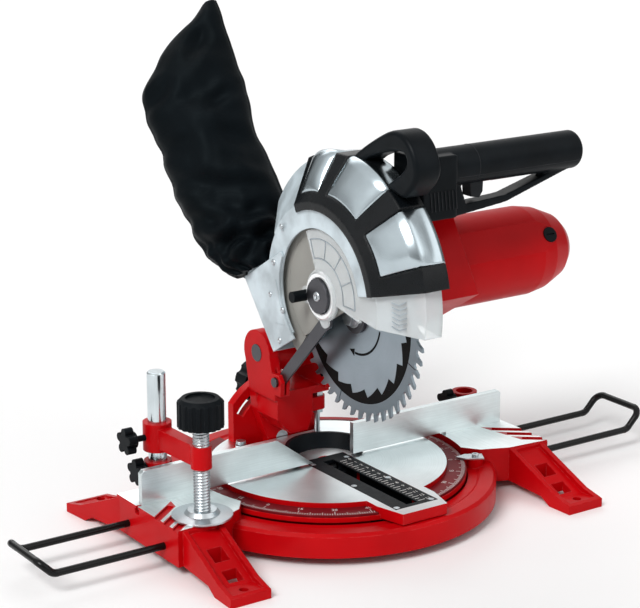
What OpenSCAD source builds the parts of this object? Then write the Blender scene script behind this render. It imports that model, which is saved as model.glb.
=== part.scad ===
// Compact bench mitre saw: base with table wings, swivelling table, tilting and chopping head.
// +X is the operator's right, -Y faces the operator, +Z is up and the bench is z = 0.
// The origin is the middle of the four bench bolts. Modules are written about the turntable axis.

/* [Base] */
// Height of the table surface above the bench
table_h = 45; // [43:0.5:50]
// Outer radius of the round base wall
base_r = 170; // [168:1:178]
// Half width over the two table wings
wing_half = 222; // [218:1:232]
// Reach of the wings in front of the turntable axis
wing_front = 80; // [78:1:86]
// Reach of the wings behind the turntable axis
wing_rear = 36; // [35:1:42]
// Reach of the front feet from the turntable axis
leg_reach = 168; // [162:1:185]
// Reach of the rear feet from the turntable axis
tail_reach = 124; // [122:1:140]
// Sideways distance between the bench bolts
bolt_span_x = 396; // [390:1:402]
// Front to back distance between the bench bolts
bolt_span_y = 270; // [262:1:276]
// Diameter of the bench bolt holes
bolt_d = 9; // [6:0.5:10]
// Thickness of the base casting's walls
wall = 5; // [4:0.5:6]

/* [Table] */
// Radius of the bare round table
disc_r = 120; // [117:1:123]
// Width of the degree scale ring around the table
scale_w = 20; // [17:1:21]
// Reach of the table's front arm
arm_reach = 163; // [158:1:166]
// Width of the table's front arm
arm_w = 58; // [56:1:64]
// Width of the table insert
insert_w = 50; // [46:1:52]
// Width of the blade slot
slot_w = 13; // [11:0.5:15]

/* [Fence] */
// Height of the fence above the table
fence_h = 35; // [30:1:42]
// Thickness of the fence
fence_t = 6; // [5:0.5:7]
// Half length of the fence
fence_half = 218; // [212:1:222]

/* [Work supports] */
// Diameter of the bent support rods
rod_d = 7; // [6:0.5:8]
// Distance between the two legs of a support
rod_span = 68; // [62:1:70]
// How far the left support reaches from the middle
support_left = 352; // [330:1:360]
// How far the right support reaches from the middle
support_right = 380; // [360:1:385]

/* [Clamp] */
// Diameter of the clamp column
column_d = 18; // [16:0.5:20]
// Height of the column's top above the bench
column_top = 168; // [164:1:190]
// Distance from the column to the clamp screw
clamp_reach = 75; // [70:1:82]
// Diameter of the clamp screw
spindle_d = 10; // [8:0.5:12]
// Diameter of the clamp pad
pad_d = 58; // [45:1:62]
// Diameter of the clamp's hand knob
knob_d = 44; // [38:1:50]

/* [Head] */
// Blade diameter
blade_d = 210; // [205:1:212]
// Thickness of the blade at its teeth
blade_t = 2.6; // [2:0.1:3]
// Depth that the lowered blade reaches below the table
cut_below = 19.5; // [17:0.5:21]
// Angle by which the raised head stands above its lowest place
head_raise = 31.3; // [28:0.1:32]
// Distance of the head's hinge pin behind the turntable axis
pin_y = 80; // [78:1:84]
// Diameter of the head's hinge pin
pin_d = 18; // [14:0.5:20]
// Outer radius of the blade cover
guard_r = 136; // [135:0.5:140]
// Motor diameter
motor_d = 92; // [90:1:96]
// Distance of the motor's end from the blade
motor_end = 265; // [258:1:280]
// Diameter of the handle's grip
grip_d = 38; // [34:0.5:40]
// Distance of the handle's end from the blade
grip_end = 228; // [220:1:250]

/* [Dust bag] */
// Length of the bag from its mouth to its peak
bag_len = 296; // [270:1:310]
// Width of the bag across its belly
bag_w = 112; // [95:1:125]
// Thickness of the bag
bag_t = 66; // [55:1:75]

/* [Hidden] */
$fn = 64;

// Colours
red = [0.76, 0.05, 0.06];
dark_red = [0.34, 0.03, 0.05];
black = [0.07, 0.07, 0.08];
dark_grey = [0.25, 0.28, 0.31];
light_grey = [0.74, 0.78, 0.81];
taupe = [0.60, 0.57, 0.54];
steel = [0.75, 0.76, 0.78];
clear = [0.80, 0.86, 0.90, 0.45];
copper = [0.72, 0.42, 0.22];

// Clearances
run = 0.06; // on the radius of a shaft that turns or slides
lie = 0.2; // between flat faces that pass each other
room = 1.2; // between parts that swing past each other
skin = 0.1; // between pieces that are fixed to each other

// Base
axis_y = 20;
foot_t = 9;
floor_z = 6;
floor_t = wall;
well_r = disc_r + scale_w + 1.5;
arm_t = 11;
ledge_z = table_h - arm_t - room;
ring_z = 9;
top_t = wall;
pocket_in = well_r + 2 * wall;
leg_in = bolt_span_x / 2 - 24;
leg_out = bolt_span_x / 2 + 20;
leg_rib = wall;
leg_dip = 4;
front_bolt = -bolt_span_y / 2 - axis_y;
rear_bolt = bolt_span_y / 2 - axis_y;
hub_r = 22;
swivel_r = 6;

// Fence and clamp places
fence_face = 6.5;
fence_back = fence_t - fence_face;
fence_lift = 2.5;
fence_top = table_h + fence_h;
fence_mid_left = 22;
fence_mid_right = 27;
wing_end = min(wing_half - 4, fence_half);
column_x = wing_end - 31;
column_y = 16;
boss_r = column_d / 2 + 4.5;
boss_top = fence_top - 1;
socket_z = table_h - 15;
column_foot = socket_z + lie;
lock_z = boss_top - 8;
stud_r = 3;
clamp_turn = 3;
arm_z = 91;
arm_h = 26;
knob_h = 27.5;
knob_z = 134;
pad_h = 7;
screw_reach = [(well_r + column_x - boss_r) / 2 + 0.5, wing_end - 8];

// Work supports
rod_r = rod_d / 2;
rod_z = table_h - 23;
rod_mid = -20;
rod_front = rod_mid - rod_span / 2;
rod_rear = rod_mid + rod_span / 2;
rod_inner = pocket_in + 6;
bend_r = 1.5 * rod_d;
bar_left = table_h - 11.5;
bar_right = table_h - rod_r - 0.5;
guide_x = bolt_span_x / 2 - 12;

// Table
disc_t = 6;
rim_z = table_h - 7.4;
scale_t = 2.4;
insert_t = 4;
insert_rear = 9;
insert_front = arm_reach - 13;
slot_right = 5;
slot_front = insert_front - 6;
slot_rear = 12;
slot_end = 3;
trench_z = table_h - cut_below - 6;
trench_l = 14;
trench_r = 24;

// Bevel joint and bracket
flange_y = 84;
flange_t = 12;
quad_y = flange_y + flange_t + lie;
quad_t = 10;
quad_r = 66;
bevel_r = 7;
bevel_eye = 17;
notch_w = 48;
lock_r = 52;
lock_a = 6;
tilt = 45;
post_front = 46;
post_left = 30;
post_right = 13;
deck_z = table_h + 63;
deck_t = 8;
ear_in = 22;
ear_out = 33;
ear_r = 24;
pin_z = table_h + 98;
pin_r = pin_d / 2;
stop_x = 25;
stop_top = deck_z - deck_t - 6;
stop_y = 56;
end_stop_x = -58;
end_stop_y = 72;
end_stop_z = -end_stop_x - 5 - sqrt(2) * post_left - skin;

// Head, written with the blade fully lowered and then raised about the pin
blade_r = blade_d / 2;
arbor_z = table_h - cut_below + blade_r;
arbor_y = -fence_face - 60;
arbor_r = 10;
teeth = 48;
guard_y = arbor_y + 5;
guard_z = arbor_z + 27;
motor_z = arbor_z + 36;
motor_r = motor_d / 2;
case_x = 8;
mount_x = 40;
motor_x = 110;
brush_x = motor_end - 40;

// Blade cover: left face, crease, right face and the layers of its skin
side_l = 36;
side_c = 6;
side_r = 22;
bevel_start = 92;
trim_t = 2.5;
guard_wall = 2.2;
window_r = 66;
cover_start = 62;
cover_end = 199;
shell_d = trim_t + skin;
clear_d = shell_d + guard_wall + 0.9;
clear_wall = 2;
plate_d = clear_d + clear_wall + 3.1;
side_low = arbor_z + 3;
rib_ends = [96, 117, 154, 189];
panel_ends = [100, 125, 164];
band_r = 101;

// Gears: ten teeth drive fifty
gear_teeth = 50;
pinion_teeth = 10;
gear_m = 2 * (motor_z - arbor_z) / (gear_teeth + pinion_teeth);

// Handle, tilted so that it lies level with the head raised
grip_y = -181;
grip_z = table_h + 187;
grip_tilt = 31.3;
grip_r = grip_d / 2;
grip_start = 62;

// Dust port and bag
port_rear = arbor_y + blade_r + 8;
port_top = guard_z + 60;
port_x = -15;
port_y = port_rear - 4;
mouth_r = 20;
mouth_z = port_top + 8;
port_right = 5.5;
bag_turn = -34;

// Guard lever and link
lever_r = 25;
lever_a = -68.7;
link_y = post_front - 2;
link_z = deck_z + 13;
link_t = 2.4;
link_x = -side_l + clear_d + clear_wall + 0.3;
link_pin = 3;

module plate_x(x0, t) {
    translate([x0, 0, 0]) rotate([90, 0, 90]) linear_extrude(t) children();
}
module plate_y(y0, t) {
    translate([0, y0 + t, 0]) rotate([90, 0, 0]) linear_extrude(t) children();
}
module rod_x(x0, x1, r) {
    translate([x0, 0, 0]) rotate([0, 90, 0]) cylinder(r = r, h = x1 - x0);
}
module rod_y(y0, y1, r) {
    translate([0, y0, 0]) rotate([-90, 0, 0]) cylinder(r = r, h = y1 - y0);
}
module rod_z(z0, z1, r) {
    translate([0, 0, z0]) cylinder(r = r, h = z1 - z0);
}
module block(lo, hi) {
    translate(lo) cube(hi - lo);
}
module at_yz(y, z) {
    translate([0, y, z]) children();
}
module at_xz(x, z) {
    translate([x, 0, z]) children();
}
// Turns a profile of [radius, x] points about the line through (y, z), from angle a0 to a1
// measured from +Y towards +Z
module revolve(y, z, a0, a1) {
    at_yz(y, z) rotate([90, 0, 90]) rotate([0, 0, a0]) rotate_extrude(angle = a1 - a0) children();
}
// Carries lowered head parts to the raised rest place
module in_head() {
    at_yz(pin_y, pin_z) rotate([-head_raise, 0, 0]) at_yz(-pin_y, -pin_z) children();
}
module both() {
    children();
    mirror([1, 0, 0]) children();
}
module screw_z(r, head_r, head_h, depth) {
    rod_z(-depth, skin, r);
    difference() {
        rod_z(0, head_h, head_r);
        rod_z(head_h / 2, head_h + 1, head_r / 2);
    }
}
// Five-lobed knob along +Z with its stud below
module star_knob(h, stud) {
    rod_z(-stud, 1, stud_r);
    rod_z(0, h, 8);
    for (i = [0:4]) rotate([0, 0, i * 72]) translate([9, 0, 0]) rod_z(h / 4, h, 4.2);
}

// Sloping leg between plan and side outlines, with raised side ribs and two windows
module leg(plan, side, ramp, windows, shift) {
    difference() {
        intersection() {
            linear_extrude(table_h) polygon(plan);
            plate_x(leg_in - 40, 120) polygon(side);
        }
        intersection() {
            translate([0, 0, -1]) linear_extrude(2 * table_h) offset(delta = -leg_rib) polygon(plan);
            plate_x(leg_in - 40, 120) polygon(ramp);
        }
        for (w = windows) block([leg_in + 14 + shift, w[0], -1], [leg_out - 14 + shift, w[1], table_h + 1]);
    }
}
module front_leg() {
    y0 = -wing_front + wall;
    y1 = -leg_reach;
    heel = y1 + 30;
    leg([[leg_in, y0], [leg_out - 2, y0], [leg_out + 2, y1], [leg_in + 3, y1]],
        [[y0, table_h], [y0, ring_z], [heel + 12, ring_z - 2], [heel, 0], [y1, 0], [y1, foot_t],
            [heel - 8, foot_t + 5]],
        [[y0 - 1, table_h + 1], [y0 - 1, table_h - leg_dip], [heel - 6, foot_t], [y1 - 1, foot_t],
            [y1 - 1, table_h + 1]],
        [[-wing_front - 36, -wing_front - 20], [-wing_front - 60, -wing_front - 46]], 0);
}
module rear_leg() {
    y0 = wing_rear - wall;
    y1 = tail_reach;
    heel = y1 - 32;
    leg([[leg_in + 10, y0], [wing_half, y0], [leg_out + 14, y1], [leg_in + 12, y1]],
        [[y0, table_h - 2], [y0, ring_z], [heel - 12, ring_z - 2], [heel, 0], [y1, 0], [y1, foot_t],
            [heel + 8, foot_t + 5]],
        [[y0 + 1, table_h + 1], [y0 + 1, table_h - leg_dip - 2], [heel + 6, foot_t], [y1 + 1, foot_t],
            [y1 + 1, table_h + 1]],
        [[wing_rear + 14, wing_rear + 30]], 8);
}
module wing() {
    corner = [well_r + 4, -wing_front + 16];
    difference() {
        translate([0, 0, ring_z]) linear_extrude(table_h - ring_z) polygon([[well_r - 40, wing_rear],
            [wing_half, wing_rear], [wing_half, -wing_front], [leg_in, -wing_front + wall - 1], corner,
            [well_r - 14, -wing_front / 2], [well_r - 40, -wing_front / 2]]);
        block([pocket_in, corner[1] + wall, ring_z - 1], [guide_x - 4, wing_rear - wall, table_h - top_t]);
        block([guide_x + 4, -wing_front + wall, ring_z - 1],
            [wing_half - wall, wing_rear - wall, table_h - top_t]);
        // three slanted drain grooves in the top
        for (i = [0:2]) translate([wing_half - 29 + 4 * i, -24 - 20 * i, table_h - 2])
            rotate([0, 0, -38]) cube([60, 7, 3]);
    }
}
module base_casting() {
    color(red) difference() {
        union() {
            rotate_extrude() polygon([[well_r - 1, floor_z], [well_r + wall, floor_z],
                [well_r + wall, ledge_z - wall], [base_r - wall, ledge_z - wall], [base_r - wall, ring_z],
                [base_r, ring_z], [base_r, ledge_z - 3], [base_r - 3, ledge_z],
                [well_r + 12, ledge_z], [well_r + 9, ledge_z - 1.5], [well_r - 1, ledge_z - 1.5]]);
            rod_z(floor_z, floor_z + floor_t, well_r);
            both() {
                wing();
                front_leg();
                rear_leg();
            }
            // bed of the sliding fence
            block([-wing_half, -fence_face - 5, table_h - 13], [-well_r - 1, fence_back + 5, table_h]);
            // bosses for the clamp column on both sides
            for (x = [-column_x, column_x]) translate([x, column_y, 0]) rod_z(socket_z - 3, boss_top, boss_r);
            // seat of the mitre pointer
            translate([well_r - 8, -well_r / 2, 0]) rod_z(ledge_z - wall, rim_z + scale_t + 1, 8);
        }
        rod_z(floor_z + floor_t, table_h + 1, well_r);
        rod_z(floor_z - 1, table_h, swivel_r + run);
        both() {
            for (y = [front_bolt, rear_bolt]) translate([bolt_span_x / 2, y, 0]) rod_z(-1, table_h, bolt_d / 2);
            for (y = [rod_front, rod_rear]) at_yz(y, rod_z) rod_x(pocket_in, wing_half + 40, rod_r + run);
            translate([guide_x, rod_rear, 0]) rod_z(0, rod_z, stud_r);
        }
        for (x = screw_reach) translate([x, 8, 0]) rod_z(table_h - 12, table_h + 1, 2);
        mirror([1, 0, 0]) fence_rail(well_r + 8, wing_half + 1, lie);
        for (x = [-column_x, column_x]) {
            translate([x, column_y, 0]) rod_z(socket_z, boss_top + 1, column_d / 2 + run);
            at_yz(column_y, lock_z) rod_x(x - boss_r - 1, x, stud_r);
        }
        translate([well_r - 8, -well_r / 2, 0]) rod_z(ledge_z, table_h, 1.5);
    }
}

// Fence plate with its inner end cut by the slope, stepped clear of the turning table
module fence_plate(x_in, slope) {
    edge = well_r + 4;
    plate_y(-fence_face, fence_t) polygon([[x_in, table_h + fence_lift], [edge, table_h + fence_lift],
        [edge, table_h], [fence_half, table_h], [fence_half, fence_top - 3], [fence_half - 3, fence_top],
        [x_in + slope, fence_top]]);
}
// Rail that the left fence slides along, shaped like a T, grown by the gap for its groove
module fence_rail(x0, x1, gap) {
    mid = -fence_face + fence_t / 2;
    block([x0, mid - 1.5 - gap, table_h - 4], [x1, mid + 1.5 + gap, table_h + gap]);
    block([x0, mid - 4 - gap, table_h - 8 - gap], [x1, mid + 4 + gap, table_h - 3 + gap]);
}
module fence_left() {
    color(steel) mirror([1, 0, 0]) {
        fence_plate(fence_mid_left, fence_h + 8);
        fence_rail(well_r + 9, fence_half - 2, 0);
    }
}
module fence_right() {
    color(steel) difference() {
        union() {
            fence_plate(fence_mid_right, 0);
            for (x = screw_reach) block([x - 7, fence_back - 1, table_h], [x + 7, 16, table_h + 5]);
        }
        for (x = screw_reach) translate([x, 8, 0]) rod_z(table_h - 1, table_h + 6, 2);
        translate([column_x, column_y, 0]) rod_z(table_h - 1, boss_top + 1, boss_r + skin);
    }
}
module base_screws() {
    color(steel) {
        for (x = screw_reach) translate([x, 8, table_h + 5]) screw_z(2 - skin, 4, 3, 15);
        translate([well_r - 8, -well_r / 2, rim_z + scale_t + 2.5]) screw_z(1.5 - skin, 3.5, 2.4, 8);
    }
}
module mitre_pointer() {
    color(steel) translate([well_r - 8, -well_r / 2, rim_z + scale_t + 1]) difference() {
        rotate([0, 0, 180 - atan((well_r / 2) / (well_r - 8))]) linear_extrude(1.5)
            polygon([[-8, -7], [10, -7], [20, 0], [10, 7], [-8, 7]]);
        rod_z(-1, 3, 1.5);
    }
}

// Bent support: two straight legs that rise to a cross bar at table height
module support(reach, bar_z) {
    c = cos(tilt);
    lap = 1;
    rise = (bar_z - rod_z - bend_r) / c;
    x_end = reach - rod_r;
    x_bend = x_end - rise * c - 2 * bend_r * c;
    x_up = x_bend + bend_r * c;
    z_up = rod_z + bend_r * (1 - c);
    p = [x_up + rise * c, z_up + rise * c];
    for (s = [-1, 1]) {
        y = rod_mid + s * rod_span / 2;
        at_yz(y, rod_z) rod_x(rod_inner, x_bend + lap, rod_r);
        translate([x_bend, y, rod_z + bend_r]) rotate([90, 0, 0]) rotate([0, 0, -90]) bend(tilt);
        translate([x_up, y, z_up]) rotate([0, tilt, 0]) rod_z(-lap, rise + lap, rod_r);
        // corner from the rising leg into the cross bar
        translate([p[0], y, p[1]]) rotate([0, tilt, 0]) translate([0, -s * bend_r, 0])
            rotate([90, 0, 90]) rotate([0, 0, s > 0 ? 0 : 90]) bend(90);
    }
    translate([p[0] + bend_r * c, rod_mid, p[1] + bend_r * c])
        rod_y(-rod_span / 2 + bend_r - lap, rod_span / 2 - bend_r + lap, rod_r);
}
// Bend of the rod, a little fuller than its straight lengths
module bend(a) {
    rotate_extrude(angle = a) translate([bend_r, 0]) circle(rod_r + 0.15);
}
module support_left_rod() {
    color(black) mirror([1, 0, 0]) support(support_left, bar_left);
}
module support_right_rod() {
    color(black) support(support_right, bar_right);
}
// Thumb screw under the wing that presses on the support's rear leg
module support_screw() {
    translate([guide_x, rod_rear, 0]) difference() {
        union() {
            rod_z(ring_z - 4, rod_z - rod_r - run, stud_r - run);
            rod_z(ring_z - 8, ring_z - 1, 9);
        }
        for (a = [0:45:315]) rotate([0, 0, a]) translate([10.5, 0, 0]) rod_z(0, ring_z, 2.5);
    }
}
module support_screw_left() {
    color(black) mirror([1, 0, 0]) support_screw();
}
module support_screw_right() {
    color(black) support_screw();
}

module at_column(x) {
    translate([x, column_y, 0]) children();
}
module clamp_column() {
    color(steel) at_column(-column_x) {
        rod_z(column_foot, column_top - 1.5, column_d / 2);
        translate([0, 0, column_top - 1.5]) cylinder(r1 = column_d / 2, r2 = column_d / 2 - 1.5, h = 1.5);
    }
}
// Places a piece on the clamp screw's axis
module at_screw() {
    at_column(-column_x) rotate([0, 0, clamp_turn]) translate([0, -clamp_reach, 0]) children();
}
module clamp_arm() {
    bar = [[-7, 0], [7, 0], [6, -clamp_reach], [-6, -clamp_reach]];
    color(red) at_column(-column_x) rotate([0, 0, clamp_turn]) difference() {
        union() {
            rod_z(arm_z - 1, arm_z + arm_h + 1, column_d / 2 + 5);
            translate([0, -clamp_reach, 0]) rod_z(arm_z + 2, arm_z + arm_h - 2, spindle_d / 2 + 5);
            translate([0, 0, arm_z + 3]) linear_extrude(arm_h - 6) polygon(bar);
        }
        rod_z(arm_z - 2, arm_z + arm_h + 2, column_d / 2 + run);
        translate([0, -clamp_reach, 0]) rod_z(arm_z, arm_z + arm_h + 2, spindle_d / 2 + run);
        rotate([0, 0, -clamp_turn]) translate([0, 0, arm_z + arm_h / 2]) rod_x(-column_d, 0, stud_r);
    }
}
module clamp_arm_knob() {
    stud = 16 - run;
    color(black) at_column(-column_x) at_xz(-column_d / 2 - 16, arm_z + arm_h / 2)
        rotate([0, -90, 0]) star_knob(12, stud);
}
module column_knob_left() {
    stud = boss_r - column_d / 2 + 1 - run;
    color(black) at_column(-column_x) at_xz(-boss_r - 1, lock_z) rotate([0, -90, 0]) star_knob(12, stud);
}
module column_knob_right() {
    stud = boss_r - column_d / 2 + 1 - run - lie;
    color(black) at_column(column_x) at_xz(-boss_r - 1, lock_z) rotate([0, -90, 0]) star_knob(12, stud);
}
module clamp_spindle() {
    color(steel) at_screw() {
        rod_z(table_h + pad_h - 3, knob_z + 1, spindle_d / 2);
        rod_z(knob_z - 5, knob_z, spindle_d / 2 + 3);
    }
}
module clamp_knob() {
    flutes = 18;
    color(black) at_screw() difference() {
        union() {
            rod_z(knob_z, knob_z + knob_h - 4, knob_d / 2);
            translate([0, 0, knob_z + knob_h - 4]) cylinder(r1 = knob_d / 2, r2 = knob_d / 2 - 4, h = 4);
        }
        for (i = [0:flutes - 1]) rotate([0, 0, i * 360 / flutes]) translate([knob_d / 2 + 1.2, 0, 0])
            rod_z(knob_z - 1, knob_z + knob_h + 1, 2.4);
        rod_z(knob_z - 1, knob_z + 1, spindle_d / 2);
        rod_z(knob_z + knob_h - 2, knob_z + knob_h + 1, knob_d / 2 - 8);
    }
}
module clamp_pad() {
    color(steel) at_screw() difference() {
        rotate_extrude() polygon([[0, table_h + lie], [pad_d / 2, table_h + lie], [pad_d / 2, table_h + 2.2],
            [pad_d / 3.4, table_h + 3.2], [pad_d / 4.2, table_h + pad_h], [0, table_h + pad_h]]);
        rod_z(table_h + pad_h - 3 - lie, table_h + pad_h + 1, spindle_d / 2 + run);
    }
}

// Table casting: disc, rim, hub, front arm, and tail with the bevel quadrant
module turntable() {
    color(red) difference() {
        union() {
            rod_z(table_h - disc_t, table_h, disc_r);
            rotate_extrude() polygon([[disc_r - 12, rim_z - 5], [disc_r + scale_w, rim_z - 5],
                [disc_r + scale_w, rim_z], [disc_r - 0.5, rim_z], [disc_r - 0.5, table_h - 1],
                [disc_r - 12, table_h - 1]]);
            difference() {
                rod_z(floor_z + floor_t + lie, table_h - 1, disc_r - 8);
                rod_z(0, table_h - disc_t, disc_r - 13);
            }
            for (a = [30, 150, 210, 330]) rotate([0, 0, a])
                block([0, -3, floor_z + floor_t + 3], [disc_r - 10, 3, table_h - 1]);
            rod_z(floor_z + floor_t + lie, table_h - 12, hub_r);
            // front arm with chamfered shoulders
            translate([0, 0, table_h - arm_t]) linear_extrude(arm_t) polygon([
                [-arm_w / 2 - 5, -disc_r + 20], [-arm_w / 2 - 5, -disc_r - 12], [-arm_w / 2 + 3, -arm_reach],
                [arm_w / 2 - 3, -arm_reach], [arm_w / 2 + 5, -disc_r - 12], [arm_w / 2 + 5, -disc_r + 20]]);
            // trench walls below the insert
            block([-trench_l - 4, -disc_r + 10, trench_z - 4], [trench_r + 4, -hub_r, table_h - 1]);
            // tail floor
            block([-notch_w - 4, 52, floor_z + floor_t + lie], [notch_w + 4, quad_y + quad_t, trench_z + 2]);
            translate([end_stop_x, end_stop_y, 0]) rod_z(table_h - 1, table_h + 3, 8);
        }
        // seat of the insert and the blade's trench below it
        block([-insert_w / 2 - skin, -insert_front - skin, table_h - insert_t],
            [insert_w / 2 + skin, insert_rear + skin, table_h + 1]);
        block([-trench_l, -slot_front, trench_z], [trench_r, -slot_rear, table_h]);
        block([slot_right - slot_w, -slot_rear - 1, table_h - insert_t - 5],
            [slot_right + insert_t, -slot_end, table_h]);
        // notch for the foot of the bracket
        block([-notch_w, flange_y - room, trench_z + 2], [notch_w, disc_r + scale_w + 5, table_h + 1]);
        rod_z(0, table_h, swivel_r + run);
        rod_z(table_h - 20, table_h, 11);
        for (s = insert_holes()) translate([s[0], s[1], 0]) rod_z(table_h - 15, table_h, 1.5);
        translate([end_stop_x, end_stop_y, 0]) rod_z(table_h - 11, table_h + 4, 3);
    }
    color(red) difference() {
        plate_y(quad_y, quad_t) difference() {
            intersection() {
                translate([0, table_h]) circle(quad_r);
                translate([-notch_w - 4, floor_z + floor_t + lie]) square([2 * notch_w + 8, 2 * quad_r]);
            }
            translate([0, table_h]) circle(bevel_r);
            // curved slot for the lock stud
            translate([0, table_h]) lock_slot();
        }
    }
}
module lock_slot() {
    a0 = lock_a - 6;
    a1 = lock_a + tilt + 6;
    intersection() {
        difference() {
            circle(lock_r + 4.6);
            circle(lock_r - 4.6);
        }
        polygon([[0, 0], 2 * lock_r * [-sin(a0), cos(a0)], 3 * lock_r * [-sin(a0 / 2 + a1 / 2), cos(a0 / 2 + a1 / 2)],
            2 * lock_r * [-sin(a1), cos(a1)]]);
    }
}
function insert_holes() = [for (s = [-1, 1]) for (y = [-4, -insert_front / 2, -insert_front + 5])
    [s * (insert_w / 2 - 4.5), y]];
module mitre_scale() {
    color(dark_red) difference() {
        rod_z(rim_z + skin, rim_z + scale_t, disc_r + scale_w - 0.8);
        rod_z(0, table_h, disc_r + skin);
        block([-arm_w / 2 - 5.5, -base_r, 0], [arm_w / 2 + 5.5, 0, table_h]);
        block([-notch_w, 0, 0], [notch_w, base_r, table_h]);
    }
}
module table_insert() {
    color(black) difference() {
        block([-insert_w / 2, -insert_front, table_h - insert_t + skin], [insert_w / 2, insert_rear, table_h]);
        block([slot_right - slot_w, -slot_front, 0], [slot_right, -slot_end, table_h + 1]);
        block([slot_right - 1, -slot_front, 0], [slot_right + insert_t, -slot_end, table_h - 1.5]);
        for (s = insert_holes()) translate([s[0], s[1], 0]) rod_z(0, table_h + 1, 1.6);
        for (s = insert_holes()) translate([s[0], s[1], 0]) rod_z(table_h - 1.8, table_h + 1, 3.2);
    }
}
module insert_screws() {
    color(steel) for (s = insert_holes()) translate([s[0], s[1], table_h - 1.7]) screw_z(1.4, 3, 1.5, 8);
}
module turntable_bolt() {
    color(steel) {
        rod_z(floor_z - 5, floor_z - skin, 10);
        rod_z(floor_z - 1, table_h - 6, swivel_r);
        translate([0, 0, table_h - 12 + skin]) cylinder(r = 10, h = 6, $fn = 6);
    }
}
// Black collar behind the slot, fixed to the back of the right fence
module chip_collar() {
    r = 43;
    color(black) difference() {
        rod_z(table_h + lie, table_h + 15, r);
        translate([0, 0, table_h]) cylinder(r1 = r - 10, r2 = r - 3.5, h = 15.1);
        block([-r - 1, -r - 1, 0], [0, fence_back + lie, table_h + 20]);
        block([-1, -r - 1, 0], [r + 1, fence_back + skin, table_h + 20]);
    }
}
module bevel_pin() {
    color(steel) at_xz(0, table_h) {
        rod_y(flange_y, quad_y + quad_t + 3, bevel_r);
        rod_y(quad_y + quad_t + skin, quad_y + quad_t + 5, bevel_r + 4);
    }
}
module bevel_end_stop() {
    color(steel) translate([end_stop_x, end_stop_y, table_h]) {
        rod_z(-10, end_stop_z - 1, 3 - skin);
        translate([0, 0, 3 + skin]) cylinder(r = 6.5, h = 3, $fn = 6);
        rod_z(end_stop_z - 3, end_stop_z, 5);
    }
}

// Bracket: foot on the bevel pin, tapered post, deck and two ears for the head's pin
module bevel_bracket() {
    half = bevel_eye;
    color(red) difference() {
        union() {
            plate_y(flange_y, flange_t) union() {
                translate([0, table_h]) circle(half);
                polygon([[-half, table_h], [half, table_h], [ear_in, deck_z - deck_t], [ear_out, deck_z],
                    [-ear_out, deck_z], [-post_left, deck_z - 28]]);
            }
            plate_y(post_front, flange_y - post_front + 1) polygon([[-post_left, deck_z], [post_right, deck_z],
                [post_right, table_h + 33], [7, table_h + 17], [-14, table_h + 17], [-post_left, table_h + 34]]);
            block([-ear_out, post_front, deck_z - deck_t], [ear_out, flange_y + flange_t, deck_z]);
            for (x = [-ear_out, ear_in]) plate_x(x, ear_out - ear_in) union() {
                translate([pin_y, pin_z]) circle(ear_r);
                polygon([[pin_y - ear_r, pin_z], [pin_y + ear_r, pin_z], [flange_y + flange_t, deck_z - 1],
                    [post_front - 10, deck_z - 1], [post_front - 11, deck_z + 14], [post_front - 6, deck_z + 21],
                    [post_front + 6, deck_z + 20]]);
            }
            // lug of the upright stop
            translate([stop_x, stop_y, 0]) rod_z(stop_top - 14, stop_top, 8);
            block([post_right - 1, stop_y - 8, stop_top - 14], [stop_x, stop_y + 8, stop_top]);
        }
        at_xz(0, table_h) rod_y(flange_y - 1, flange_y + flange_t + 1, bevel_r + run);
        at_yz(pin_y, pin_z) rod_x(-ear_out - 1, ear_out + 1, pin_r + run);
        translate([stop_x, stop_y, 0]) rod_z(table_h + 20, stop_top + 1, 3);
        // slot that makes the left ear's tip a fork for the guard link
        block([link_x - lie, link_y - 30, deck_z], [link_x + link_t + lie, link_y + 9.5, deck_z + 60]);
        at_yz(link_y, link_z) rod_x(-ear_out - 1, -ear_in + 1, link_pin);
        at_lock() rod_y(flange_y - 4, flange_y + flange_t + 1, 4);
        at_yz(link_y, link_z) rod_x(ear_in - 1, ear_out + 1, 4 + run);
        // hollow of the post, open to the rear
        plate_y(post_front + wall, flange_y - post_front - 2 * wall) polygon([[-post_left + wall, deck_z - deck_t],
            [post_right - wall, deck_z - deck_t], [post_right - wall, table_h + 35], [4, table_h + 23],
            [-11, table_h + 23], [-post_left + wall, table_h + 36]]);
    }
}
module at_lock() {
    at_xz(0, table_h) rotate([0, -lock_a, 0]) translate([0, 0, lock_r]) children();
}
module bevel_knob() {
    back = quad_y + quad_t + lie;
    lobes = 8;
    color(black) at_lock() {
        rod_y(flange_y - 3, back + 1, 4 - run);
        rod_y(back, back + 5, 8);
        difference() {
            rod_y(back + 5, back + 24, 23);
            for (i = [0:lobes - 1]) rotate([0, i * 360 / lobes, 0]) translate([0, 0, 26]) rod_y(back, back + 30, 5.5);
        }
    }
}
module bevel_zero_stop() {
    color(steel) translate([stop_x, stop_y, 0]) {
        rod_z(table_h + lie, stop_top + 5, 3 - skin);
        translate([0, 0, stop_top - 18 - skin]) cylinder(r = 6.5, h = 4, $fn = 6);
        translate([0, 0, stop_top + skin]) cylinder(r = 6.5, h = 4, $fn = 6);
        rod_z(table_h + lie, table_h + 9, 5);
    }
}
module head_pin() {
    color(dark_grey) at_yz(pin_y, pin_z) {
        rod_x(-ear_out - 0.6, ear_out + 0.6, pin_r);
        rod_x(ear_out + skin, ear_out + 3, pin_r + 4);
    }
}
// Return spring of the head, coiled in the hub round the pin
module head_spring() {
    color(steel) at_yz(pin_y, pin_z) difference() {
        rod_x(-ear_in + 2.5, -ear_in + 18, pin_r + 5);
        rod_x(-ear_in, -ear_in + 20, pin_r + 1);
    }
}
// Pull pin that holds the lowered head for carrying
module head_lock_pin() {
    color(black) at_yz(link_y, link_z) {
        rod_x(ear_in + 1, ear_out + 9, 4);
        rod_x(ear_out + 8, ear_out + 18, 9);
    }
}

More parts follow.
